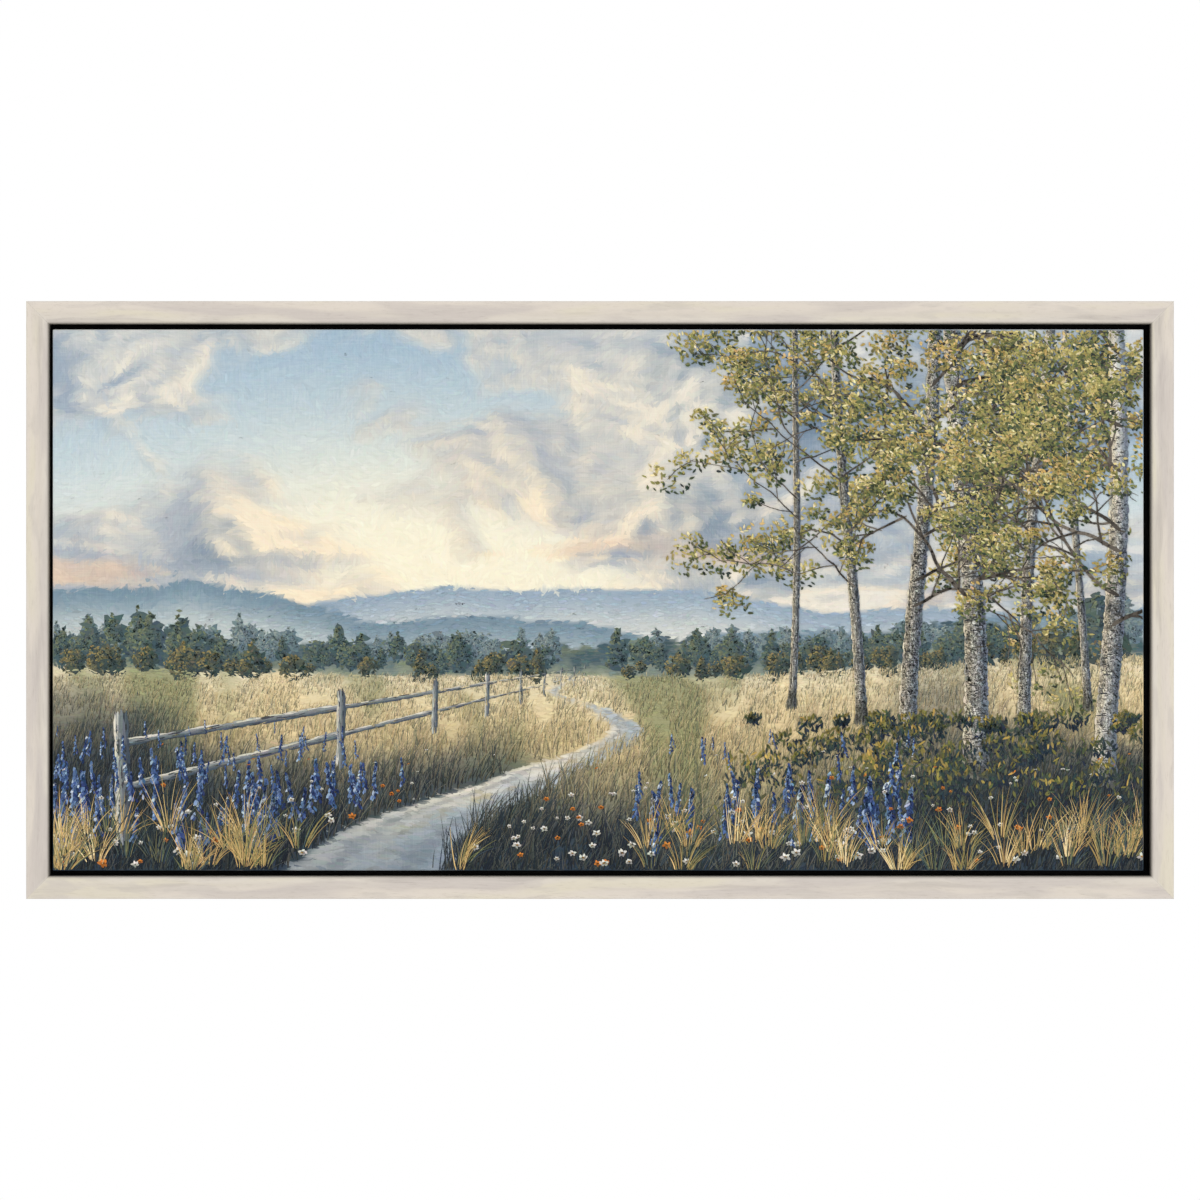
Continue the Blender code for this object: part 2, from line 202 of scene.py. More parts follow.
def taken_from(holder):
    """The mesh that an object's modifiers make. The object is removed."""
    bpy.context.view_layer.update()
    graph = bpy.context.evaluated_depsgraph_get()
    made = bpy.data.meshes.new_from_object(holder.evaluated_get(graph))
    source = holder.data
    bpy.data.objects.remove(holder)
    bpy.data.meshes.remove(source)
    return made


def piece(name, mesh, replaced=(), sharp=None):
    """A finished piece that hangs with the frame, smooth up to sharp degrees."""
    mesh.name = name
    mesh.shade_smooth()
    if sharp:
        mesh.set_sharp_from_angle(angle=math.radians(sharp))
    item = linked(name, mesh)
    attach(item, "root")
    if replaced:
        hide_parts(*replaced)
    return item


# ---------------------------------------------------------------- node trees


class Wire:
    """A value or a shape that runs through a node tree. Arithmetic on it adds Math nodes."""

    def __init__(self, tree, socket):
        self.tree, self.socket = tree, socket

    def maths(self, operation, *others):
        return out(self.tree, "ShaderNodeMath", self, *others, operation=operation)

    def __rsub__(self, other):
        return self * -1.0 + other

    def eased(self, low, high, to_low=0.0, to_high=1.0):
        """Runs smoothly from to_low, where the value is low, to to_high, where it is high."""
        values = (self, low, high, to_low, to_high)
        return out(self.tree, "ShaderNodeMapRange", *values, interpolation_type="SMOOTHSTEP")

    def clouds(self, scale=1.0, detail=2.0, roughness=0.5):
        """Soft noise at a place, between 0 and 1."""
        sizes = {"Scale": scale, "Detail": detail, "Roughness": roughness}
        return out(self.tree, "ShaderNodeTexNoise", Vector=self, **sizes)

    def split(self):
        made = node(self.tree, "ShaderNodeSeparateXYZ", self)
        return [Wire(self.tree, part) for part in made.outputs]

    def into(self, kind, *others, **words):
        """Runs a shape through a geometry node."""
        return out(self.tree, "GeometryNode" + kind, self, *others, **words)


for operation, methods in {
    "ADD": "__add__ __radd__", "MULTIPLY": "__mul__ __rmul__", "SUBTRACT": "__sub__",
    "DIVIDE": "__truediv__", "POWER": "__pow__", "GREATER_THAN": "__gt__", "LESS_THAN": "__lt__",
    "MINIMUM": "least", "MAXIMUM": "most", "ABSOLUTE": "size", "SQRT": "root", "FRACT": "part",
    "FLOOR": "whole", "SINE": "sine", "COSINE": "cosine",
}.items():
    for method in methods.split():
        setattr(Wire, method, partialmethod(Wire.maths, operation))


def feed(socket, value):
    """Sets a socket to a plain value, or links a wire to it."""
    if isinstance(value, Wire):
        value.tree.links.new(value.socket, socket)
    else:
        socket.default_value = value


def node(tree, kind, *values, **words):
    """Adds a node. Small words are its settings. Values and capitalised words are its inputs."""
    made = tree.nodes.new(kind)
    inputs = dict(enumerate(values))
    for word, value in words.items():
        if word.islower():
            setattr(made, word, value)
        else:
            inputs[word.replace("_", " ")] = value
    for key, value in inputs.items():
        feed(made.inputs[key], value)
    return made


def out(tree, kind, *values, output=0, **words):
    return Wire(tree, node(tree, kind, *values, **words).outputs[output])


def join(*parts):
    tree = next(part.tree for part in parts if isinstance(part, Wire))
    return out(tree, "ShaderNodeCombineXYZ", *parts)


def inputs_of(tree):
    given = tree.nodes.new("NodeGroupInput").outputs
    return {socket.name: Wire(tree, socket) for socket in given if socket.name}


def add_socket(tree, name, side, kind):
    return tree.interface.new_socket(name, in_out=side, socket_type="NodeSocket" + kind)


def grown(build, mesh, **sizes):
    """Runs a mesh through a Geometry Nodes tree and returns a plain mesh. The tree is made once, by
    a function of its named inputs: the shape that comes in, sizes, and finishes."""
    tree = bpy.data.node_groups.get(build.__name__)
    if not tree:
        tree = bpy.data.node_groups.new(build.__name__, "GeometryNodeTree")
        add_socket(tree, "shape", "INPUT", "Geometry")
        add_socket(tree, "shape", "OUTPUT", "Geometry")
        for name, value in sizes.items():
            kind = {int: "Int", float: "Float"}.get(type(value), "Material")
            add_socket(tree, name, "INPUT", kind)
        made = build(**inputs_of(tree))
        feed(tree.nodes.new("NodeGroupOutput").inputs[0], made)
    holder = linked("holder", mesh)
    modifier = holder.modifiers.new(tree.name, "NODES")
    modifier.node_group = tree
    for socket in tree.interface.items_tree:
        if socket.in_out == "INPUT" and socket.name in sizes:
            modifier[socket.identifier] = sizes[socket.name]
    return taken_from(holder)


def named(shape, names):
    """The values that a shape's points carry under some names."""
    kind, words = "GeometryNodeInputNamedAttribute", {"data_type": "FLOAT"}
    return [out(shape.tree, kind, Name=name, **words) for name in names.split()]


def stored(shape, **values):
    for name, value in values.items():
        words = {"Name": name, "Value": value, "data_type": "FLOAT", "domain": "POINT"}
        shape = shape.into("StoreNamedAttribute", **words)
    return shape


def here(shape):
    return out(shape.tree, "GeometryNodeInputPosition").split()


def at_points(points, shape, turn=None):
    """A copy of a shape at every point."""
    turned = {} if turn is None else {"Rotation": turn}
    return points.into("InstanceOnPoints", Instance=shape, **turned)


def swept(line, profile):
    return line.into("CurveToMesh", Profile_Curve=profile, Fill_Caps=True)


# ---------------------------------------------------------------- colours


def linear(colour):
    """Linear light from ordinary 0 to 1 colour values."""
    colour = np.asarray(colour, float)
    return np.where(colour <= 0.04045, colour / 12.92, ((colour + 0.055) / 1.055) ** 2.4)


def tone(colour):
    """A colour for a socket, from 0 to 255 values. A wire stays as it is."""
    return colour if isinstance(colour, Wire) else (*linear(np.array(colour) / 255), 1.0)


def mixed(share, first, second, how="MIX"):
    made = node(share.tree, "ShaderNodeMix", share, data_type="RGBA", blend_type=how)
    feed(made.inputs[6], tone(first))
    feed(made.inputs[7], tone(second))
    return Wire(share.tree, made.outputs[2])


def graded(value, stops):
    """A colour from {position: colour} along a value."""
    ramp = node(value.tree, "ShaderNodeValToRGB", value)
    elements = ramp.color_ramp.elements
    while len(elements) < len(stops):
        elements.new(0.5)
    for element, (position, colour) in zip(elements, stops.items()):
        element.position, element.color = position, tone(colour)
    return Wire(value.tree, ramp.outputs[0])


# ---------------------------------------------------------------- shared effects


def effect(**usual):
    """Makes a shader node group of a function. The group's inputs are a place and sizes, which have
    usual values, and the function names its outputs. Calling it puts the group at a place."""

    def made_of(build):
        tree = bpy.data.node_groups.new(build.__name__, "ShaderNodeTree")
        add_socket(tree, "place", "INPUT", "Vector")
        for name, size in usual.items():
            add_socket(tree, name, "INPUT", "Float").default_value = size
        made = build(**inputs_of(tree))
        for name in made:
            add_socket(tree, name, "OUTPUT", "Float")
        end = tree.nodes.new("NodeGroupOutput")
        for name, value in made.items():
            feed(end.inputs[name], value)

        def put(place, **sizes):
            group = node(place.tree, "ShaderNodeGroup", node_tree=tree)
            for name, value in {"place": place, **sizes}.items():
                feed(group.inputs[name], value)
            return SimpleNamespace(**{s.name: Wire(place.tree, s) for s in group.outputs})

        return put

    return made_of


@effect(length=0.2, width=0.012)
def wiped_wash(place, length, width):
    """Paint wiped along the wood: soft patches, long streaks, bare specks, brush marks, pores."""
    along, across, lot = place.split()
    along, across = along / length, across / width
    across = across + (join(along * 1.3, across * 0.2, lot + 3.0).clouds() - 0.5) * 1.2

    def marks(often, close, shift, detail=2.0, roughness=0.5):
        return join(along * often, across * close, lot + shift).clouds(1.0, detail, roughness)

    return {
        "patches": marks(1.0, 0.5, 0.0),
        "smudges": marks(3.4, 0.9, 61.0),
        "streaks": marks(1.5, 1.3, 11.0).eased(0.52, 0.68),
        "specks": marks(9.0, 2.6, 19.0, 4.0, 0.6).eased(0.66, 0.76),
        "brushing": marks(5.0, 14.0, 31.0, 3.0, 0.6),
        "pores": marks(14.0, 34.0, 47.0).eased(0.63, 0.72),
    }


@effect(ring=0.004)
def softwood_grain(place, ring):
    """Growth rings, fibres and knots of a softwood sawn with its grain along X."""
    x, y, z = place.split()

    def along_grain(often, close):
        return join(x * often, y * close, z * close)

    knots = out(place.tree, "ShaderNodeTexVoronoi", Vector=along_grain(6.0, 15.0), Scale=1.0)
    near = knots.eased(0.05, 0.42, 1.0, 0.0)
    swirl = (along_grain(1.6, 6.0).clouds() - 0.5) * 0.008 + near * near * 0.007
    radius = ((y + swirl + 0.034) ** 2.0 + (z + swirl * 1.6 + 0.017) ** 2.0).root()
    phase = (radius / ring + along_grain(9.0, 60.0).clouds() * 0.5).part()
    late = along_grain(2.0, 120.0).clouds().eased(0.35, 0.65, 0.35, 1.0)
    rings = (phase ** 5.0 * 0.8 + phase * 0.2) * phase.eased(0.94, 1.0, 1.0, 0.1) * late
    fibres = along_grain(24.0, 1100.0).clouds(1.0, 3.0, 0.65)
    rims = knots.eased(0.042, 0.060) * knots.eased(0.082, 0.062)
    return {
        "rings": rings,
        "fibres": fibres,
        "knots": knots.eased(0.054, 0.064, 1.0, 0.0),
        "rims": rims,
        "relief": rings * 0.4 + fibres * 0.5 - rims * 0.4,
    }


@effect(pitch=0.8 * MM)
def plain_weave(place, pitch):
    """Threads over and under each other, with thick places in some of them."""
    u, v, _ = place.split()
    sway = (place.clouds(55.0) - 0.5) * 1.4
    u, v = u / pitch + sway, v / pitch - sway
    warp, weft = (u * math.pi).sine(), (v * math.pi).sine()
    over = warp * weft > 0.0
    height = (warp.size() * (over * 0.5 + 0.5)).most(weft.size() * (1.0 - over * 0.5))
    thick_warp = join(u.whole() * 3.7, v * 0.03, 1.0).clouds(1.0, 1.0)
    thick_weft = join(u * 0.03, v.whole() * 3.7, 7.0).clouds(1.0, 1.0)
    slubs = thick_warp.most(thick_weft).eased(0.60, 0.76)
    threads = thick_warp * 0.5 + thick_weft * 0.5
    return {"threads": threads, "slubs": slubs, "height": height * 0.8 + slubs * 0.4}


@effect(edge=0.0, amount=0.5)
def rubbed_edge(place, edge, amount):
    """Where an edge has been handled: patchy, strongest on the edge itself."""
    reach = edge * amount + place.clouds(38.0, 4.0, 0.65) * 0.9
    return {"mask": reach.eased(0.72, 0.98) * edge.eased(0.05, 0.4)}


@effect(amount=0.3)
def upward_dust_and_highlight(place, amount):
    """A thin film on whatever faces up: settled dust, and the mask of the painted highlight on the
    canvas's upper edge.
    """
    normal = out(place.tree, "ShaderNodeNewGeometry", output="Normal")
    film = place.clouds(60.0, 4.0, 0.6).eased(0.25, 0.8, 0.35, 1.0)
    return {"mask": normal.split()[2].eased(0.25, 0.95) * film * amount}


@effect()
def bristle_marks(place):
    """Fine ridges that a brush leaves along its stroke."""
    along, across, lot = place.split()
    ridges = join(along * 45.0, across * 1900.0, lot).clouds()
    loaded = join(along * 90.0, across * 420.0, lot + 5.0).clouds()
    return {"streak": ridges * 0.6 + loaded * 0.4, "relief": ridges * 0.7 + loaded * 0.5}


# ---------------------------------------------------------------- materials

LEVEL, UPRIGHT, SLANTING = (0.0, 0.0, 0.0), (0.0, QUARTER, 0.0), (0.0, QUARTER / 2, 0.0)
# Grey of painted shade: over the inner lip of the face, and at the top of the channel's wall
PAINTED_SHADE_GREY = (150, 144, 135)


class Finish:
    """A material in the making, its colour laid on cover over cover."""

    def __init__(self, name, gloss, **constants):
        self.material = bpy.data.materials.new(name)
        self.material.use_nodes = True
        self.tree = self.material.node_tree
        self.set(Specular_IOR_Level=gloss, **constants)

    def set(self, **inputs):
        shader = self.tree.nodes["Principled BSDF"]
        for name, value in inputs.items():
            feed(shader.inputs[name.replace("_", " ")], value)

    def place(self, turn=LEVEL, shift=(0.0, 0.0, 0.0)):
        whole = out(self.tree, "ShaderNodeTexCoord", output="Object")
        return out(self.tree, "ShaderNodeMapping", Vector=whole, Rotation=turn, Location=shift)

    def map(self, name):
        return out(self.tree, "ShaderNodeUVMap", uv_map=name)

    def carried(self, name, output="Fac"):
        return out(self.tree, "ShaderNodeAttribute", output=output, attribute_name=name)

    def begin(self, share, first, second):
        self.colour = mixed(share, first, second)

    def cover(self, mask, *colour, how="MIX"):
        """Lays a colour on where a mask says."""
        self.colour = mixed(mask, self.colour, colour if len(colour) > 1 else colour[0], how)

    def dust(self, place, amount, *colour):
        mask = upward_dust_and_highlight(place, amount=amount).mask
        self.cover(mask, *colour)
        return mask

    def done(self, roughness, height=None, depth=0.05 * MM):
        self.set(Base_Color=self.colour, Roughness=roughness)
        if height is not None:
            self.set(Normal=out(self.tree, "ShaderNodeBump", Height=height, Distance=depth))
        return self.material


def whitewashed_cream():
    paint = Finish("whitewashed_cream", 0.25)
    run, girth, _ = paint.map("grain").split()
    place = join(run, girth, paint.carried("lot"))
    wash = wiped_wash(place, length=0.19, width=0.013)
    face = girth / FACE_WIDTH
    paint.colour = graded(face, {
        0.0: (219, 212, 203), 0.10: (225, 215, 203), 0.35: (223, 213, 201),
        0.60: (216, 207, 195), 0.78: (221, 213, 201), 0.92: (219, 211, 200),
    })
    cool = wash.patches.eased(0.49, 0.60, 0.0, 0.80) * face.eased(0.02, 0.45, 0.6, 1.0)
    paint.cover(cool, 202, 193, 187)
    paint.cover(wash.patches.eased(0.47, 0.34, 0.0, 0.65), 225, 217, 194)
    paint.cover(wash.smudges.eased(0.55, 0.66, 0.0, 0.55), 205, 197, 188)
    inner = face.eased(0.30, 0.62, 0.08, 0.46) * face.eased(0.98, 0.80, 0.3, 1.0)
    paint.cover(wash.streaks * inner, 182, 174, 167)
    paint.cover(wash.specks * 0.20, 170, 158, 142)
    paint.cover(wash.pores * 0.26, 168, 156, 140)
    paint.cover(wash.brushing.eased(0.35, 0.65, 0.0, 0.22), 228, 221, 210)
    arris = girth.size().eased(0.2 * MM, 2.0 * MM, 1.0, 0.0)
    paint.cover(rubbed_edge(place, edge=arris, amount=0.35).mask * 0.35, 190, 170, 142)
    corner = paint.carried("corner")
    # Painted highlight: a lighter band beside the mitre over the inner part of the face
    ridge = corner.eased(3.2 * MM, 0.8 * MM) * face.eased(0.25, 0.6, 0.05, 0.40)
    paint.cover(ridge, 226, 219, 208)
    seam = corner.eased(0.5 * MM, 0.1 * MM) * face.eased(0.2, 0.7, 0.06, 0.22)
    paint.cover(seam, 166, 156, 144)
    # Painted shade: the face turns grey, unevenly, over its last few millimetres into the channel
    ragged = girth + place.clouds(60.0, 3.0) * MM
    paint.cover(ragged.eased(FACE_WIDTH - 3.2 * MM, FACE_WIDTH + 2.6 * MM), PAINTED_SHADE_GREY)
    dust = paint.dust(paint.place(), 0.25, 206, 202, 196)
    roughness = wash.brushing * 0.24 + 0.40 + wash.streaks * 0.12 + dust * 0.3
    height = wash.brushing + wash.pores * -0.8 - wash.streaks * 0.2
    return paint.done(roughness, height, 0.10 * MM)


def black_channel():
    """Black paint of the channel. Its upright wall carries painted shade: grey near the face, black
    deeper down.
    """
    paint = Finish("black_channel", 0.12)
    run, girth, _ = paint.map("grain").split()
    wash = wiped_wash(join(run, girth, paint.carried("lot")), length=0.06, width=0.008)
    paint.begin(wash.patches.eased(0.35, 0.65), (19, 19, 20), (30, 29, 29))
    # Painted shade: grey at the top of the wall, black deeper into the channel, with a ragged line
    # between
    ragged = girth + wash.patches * 5.0 * MM
    thick = ragged.eased(FACE_WIDTH + 5.0 * MM, FACE_WIDTH + 26.0 * MM)
    paint.begin(thick, PAINTED_SHADE_GREY, paint.colour)
    dust = paint.dust(paint.place(), 0.22, 120, 116, 110)
    return paint.done(wash.brushing * 0.2 + 0.55 + dust * 0.3, wash.brushing)


def timber(paint, place, light, dark, ring=0.004):
    """Lays on the colours of softwood, its grain along a place's X: its roughness and relief."""
    grain = softwood_grain(place, ring=ring)
    paint.begin(grain.rings * 0.75, light, dark)
    paint.cover(grain.fibres.eased(0.50, 0.66, 0.0, 0.34), dark)
    paint.cover(grain.fibres.eased(0.46, 0.34, 0.0, 0.30), 238, 216, 176)
    paint.cover(place.clouds(7.0, 3.0).eased(0.40, 0.70, 0.0, 0.30), 206, 176, 132)
    paint.cover(grain.knots * 0.60, 134, 84, 48)
    paint.cover(grain.rims * 0.70, 84, 52, 32)
    return grain.fibres * 0.2 + 0.58 - grain.rings * 0.08, grain.relief


def bare_back():
    """The unpainted back of the moulding, with paint that ran over its outer edge."""
    paint = Finish("bare_back", 0.25)
    run, _, _ = paint.map("grain").split()
    inset, lot = paint.carried("inset"), paint.carried("lot")
    place = join(run + lot, inset + lot * 0.01, 0.013)
    roughness, relief = timber(paint, place, (216, 188, 148), (158, 118, 78), 0.0042)
    ragged = inset + place.clouds(45.0, 4.0, 0.6) * 5.0 * MM
    paint.cover(ragged.eased(3.0 * MM, 4.6 * MM, 1.0, 0.0) * 0.85, 214, 206, 194)
    soot = inset - place.clouds(60.0, 4.0, 0.6) * 4.0 * MM
    paint.cover(soot.eased(43.0 * MM, 45.5 * MM) * 0.9, 26, 25, 24)
    paint.cover(place.clouds(12.0, 4.0, 0.6).eased(0.5, 0.75, 0.0, 0.25), 132, 108, 82)
    return paint.done(roughness, relief, 0.12 * MM)


def stretcher_pine(name, turn, light, dark, shift=(0.0, 0.0, 0.0)):
    paint = Finish(name, 0.3)
    place = paint.place(turn, shift)
    roughness, relief = timber(paint, place, light, dark)
    dust = paint.dust(place, 0.35, 196, 190, 180)
    paint.cover(place.clouds(16.0, 4.0, 0.65).eased(0.52, 0.78, 0.0, 0.22), 140, 110, 78)
    return paint.done(roughness + dust * 0.2, relief, 0.12 * MM)


def woven(paint, light, dark):
    """Lays on the colours of the cloth, darker in the weave's hollows as painted shade. Gives its
    place and its weave.
    """
    place = paint.map("cloth")
    weave = plain_weave(place)
    # Painted shade: darker in the hollows of the weave, lighter on its raised threads
    paint.begin(weave.height.eased(0.1, 0.9), dark, light)
    paint.cover(weave.threads.eased(0.42, 0.62, 0.0, 0.35), dark)
    return place, weave


def painted_canvas():
    """The ground colours under the strokes, on the woven face."""
    paint = Finish("painted_canvas", 0.15)
    place = paint.map("cloth")
    weave, marks = plain_weave(place), bristle_marks(place)
    paint.colour = paint.carried("paint", "Color")
    paint.cover(marks.streak.eased(0.35, 0.7, 0.0, 0.10), 236, 230, 216)
    # Painted shade in the hollows of the weave
    paint.cover(weave.height.eased(0.35, 0.0, 0.0, 0.15), 60, 62, 64)
    return paint.done(weave.height * -0.1 + 0.68, weave.height + marks.relief * 0.3, 0.10 * MM)


def primed_canvas():
    """White-primed cloth of the turned edges, with a little paint carried over the front edge and a
    painted highlight on its upper rounding.
    """
    paint = Finish("primed_canvas", 0.2)
    place, weave = woven(paint, (232, 229, 221), (206, 201, 190))
    beyond = paint.carried("beyond")
    ragged = beyond + place.clouds(60.0, 4.0, 0.6) * -9.0 * MM
    paint.cover(ragged.eased(16.0 * MM, 5.0 * MM), paint.carried("paint", "Color"))
    # Painted highlight on the upward-facing rounding of the front edge
    upper = upward_dust_and_highlight(place, amount=1.0).mask
    paint.cover(upper * beyond.eased(2.6 * MM, 0.6 * MM, 0.0, 0.6), 236, 232, 222)
    paint.cover(place.clouds(14.0, 4.0, 0.6).eased(0.52, 0.75, 0.0, 0.35), 205, 194, 172)
    paint.dust(place, 0.4, 178, 172, 162)
    return paint.done(weave.height * -0.1 + 0.75, weave.height, 0.08 * MM)


def raw_canvas():
    """The unprimed back of the cloth, seen between the bars."""
    paint = Finish("raw_canvas", 0.1)
    place, weave = woven(paint, (226, 217, 196), (186, 172, 144))
    paint.cover(weave.slubs * 0.4, 238, 231, 214)
    paint.cover(place.clouds(5.0, 4.0, 0.55).eased(0.46, 0.72, 0.0, 0.22), 176, 170, 156)
    paint.cover(place.clouds(420.0, 1.0).eased(0.72, 0.78, 0.0, 0.5), 128, 104, 72)
    return paint.done(weave.height * -0.08 + 0.86, weave.height, 0.16 * MM)


def brushed_paint(name, gloss, roughness, depth):
    """Paint of the strokes, coloured stroke by stroke, ridged by the brush over the weave."""
    paint = Finish(name, gloss)
    marks = bristle_marks(paint.map("stroke"))
    x, _, z = paint.place().split()
    weave = plain_weave(join(x, z, 0.0))
    paint.colour = paint.carried("paint", "Color")
    for mask, *colour in (
        (weave.threads.eased(0.44, 0.60, 0.0, 0.22), 240, 236, 226),
        # Painted shade in the hollows of the weave
        (weave.height.eased(0.5, 0.0, 0.0, 0.22), 70, 72, 76),
        (marks.streak.eased(0.54, 0.72, 0.0, 0.16), 238, 232, 214),
        (marks.streak.eased(0.46, 0.30, 0.0, 0.30), 96, 96, 100),
    ):
        paint.cover(mask, *colour, how="SOFT_LIGHT")
    height = marks.relief + weave.height * 0.8
    return paint.done(marks.streak * -0.15 + roughness, height, depth)


def zinc_steel():
    """Zinc-plated steel with fine scratches and dull patches."""
    paint = Finish("zinc_steel", 0.5, Metallic=1.0)
    place = paint.place()
    x, y, z = place.split()
    scratch = join(x * 260.0, y * 3000.0, z * 3000.0).clouds(1.0, 3.0, 0.6)
    dull = place.clouds(160.0, 4.0, 0.6)
    paint.begin(dull.eased(0.35, 0.70), (200, 200, 196), (160, 160, 156))
    paint.cover(dull.eased(0.66, 0.74, 0.0, 0.5), 128, 104, 80)
    paint.dust(place, 0.3, 150, 146, 140)
    return paint.done(scratch * 0.25 + dull * 0.2 + 0.16, scratch, 0.01 * MM)


def dark_recess():
    """Dark metal of a screw's cross recess: painted shade, unevenly mottled."""
    paint = Finish("dark_recess", 0.3, Metallic=1.0)
    mottle = paint.place().clouds(900.0, 3.0)
    paint.begin(mottle, (70, 66, 60), (120, 116, 108))
    return paint.done(mottle * 0.3 + 0.45)


def felt_pad():
    """Pressed grey-black felt of the wall bumpers."""
    paint = Finish("felt_pad", 0.15, Sheen_Weight=0.3)
    place = paint.place()
    fluff, worn = place.clouds(1400.0, 4.0, 0.7), place.clouds(220.0)
    paint.begin(fluff.eased(0.35, 0.7), (30, 29, 28), (78, 75, 70))
    paint.cover(worn.eased(0.5, 0.7, 0.0, 0.3), 120, 112, 100)
    return paint.done(worn * 0.1 + 0.86, fluff, 0.15 * MM)


def cotton_thread():
    paint = Finish("cotton_thread", 0.1)
    twist = paint.place().clouds(2600.0)
    paint.begin(twist.eased(0.35, 0.7), (226, 219, 202), (186, 176, 154))
    return paint.done(twist * 0.1 + 0.8)


def pale_floor():
    paint = Finish("pale_floor", 0.2)
    haze = paint.place().clouds(0.8, 3.0)
    paint.begin(haze, (238, 237, 235), (232, 231, 229))
    return paint.done(haze * 0.1 + 0.7)


CREAM, BLACK, BARE = whitewashed_cream(), black_channel(), bare_back()
PINE, PALER_PINE = ((224, 194, 146), (176, 130, 82)), ((228, 202, 158), (186, 142, 94))
DARKER_PINE = (216, 178, 128), (170, 122, 76)
PINE_LEVEL = stretcher_pine("stretcher_pine_level", LEVEL, *PINE)
PINE_UPRIGHT = stretcher_pine("stretcher_pine_upright", UPRIGHT, *PINE, (0.4, 0.02, 0.0))
BRACE_PINE = stretcher_pine("brace_pine", UPRIGHT, *PALER_PINE, (0.9, 0.05, 0.02))
KEY_WOOD = stretcher_pine("key_wood", SLANTING, *DARKER_PINE, (0.2, 0.1, 0.0))
PAINTED, PRIMED, RAW = painted_canvas(), primed_canvas(), raw_canvas()
THIN_PAINT = brushed_paint("thin_paint", 0.12, 0.66, 0.03 * MM)
FULL_PAINT = brushed_paint("full_paint", 0.18, 0.58, 0.06 * MM)
ZINC, RECESS_SHADE, FELT, THREAD = zinc_steel(), dark_recess(), felt_pad(), cotton_thread()

# ---------------------------------------------------------------- moulding


def rounded(corners, steps=8):
    """A closed outline through (inset, depth, radius) corners."""
    outline = []
    for index, (*corner, radius) in enumerate(corners):
        corner = Vector(corner)
        if not radius:
            outline.append(corner)
            continue
        beside = (corners[index - 1], corners[(index + 1) % len(corners)])
        before, after = ((Vector(other[:2]) - corner).normalized() * radius for other in beside)
        for angle in (QUARTER * step / steps for step in range(steps + 1)):
            turned = after * math.cos(angle) + before * math.sin(angle)
            outline.append(corner + before + after - turned)
    return outline


def moulding(
    shape, stations, half_length, half_reach, front, mitre_gap, unevenness, face_width, inner,
    ledge, back, face_paint, channel_paint, bare_wood,
):
    """Carries an outline along one side, its ends meeting their neighbours at 45 degrees. The face
    and the outer side are washed, the channel is black, the back and the inner side are bare."""
    line = out(shape.tree, "GeometryNodeCurvePrimitiveLine", Start=(-1, 0, 0), End=(1, 0, 0))
    line = line.into("ResampleCurve", Count=stations)
    line = stored(line, along=here(line)[0])
    rail = swept(line, shape.into("MeshToCurve"))
    inset, depth, along = named(rail, "inset depth along")
    x = along * (half_length - inset - mitre_gap * 0.7)
    y, z = front + depth, half_reach - inset
    rail = rail.into("SetPosition", Position=join(x, y, z))
    wave = (join(x, y, z + half_reach * 9.0).clouds(14.0, 1.0) - 0.5) * unevenness
    rail = rail.into("SetPosition", Offset=join(0.0, wave, wave * 0.6))
    rail = rail.into("SetMaterial", Material=face_paint)
    channel = (inset > face_width - 0.5 * MM) * (depth < ledge + 0.4 * MM)
    rail = rail.into("SetMaterial", Material=channel_paint, Selection=channel)
    bare = (depth > back - 0.6 * MM).most(inset > inner - 0.8 * MM)
    return rail.into("SetMaterial", Material=bare_wood, Selection=bare)


def spots_of(prefix):
    """The axis and the wall-side face of each CAD piece whose name starts so: x, y, z."""
    spots = {}
    for name in sorted(filter(lambda name: name.startswith(prefix), frame["nodes"])):
        low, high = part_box(name)
        spots[name] = ((low.x + high.x) / 2, high.y, (low.z + high.z) / 2)
    return spots


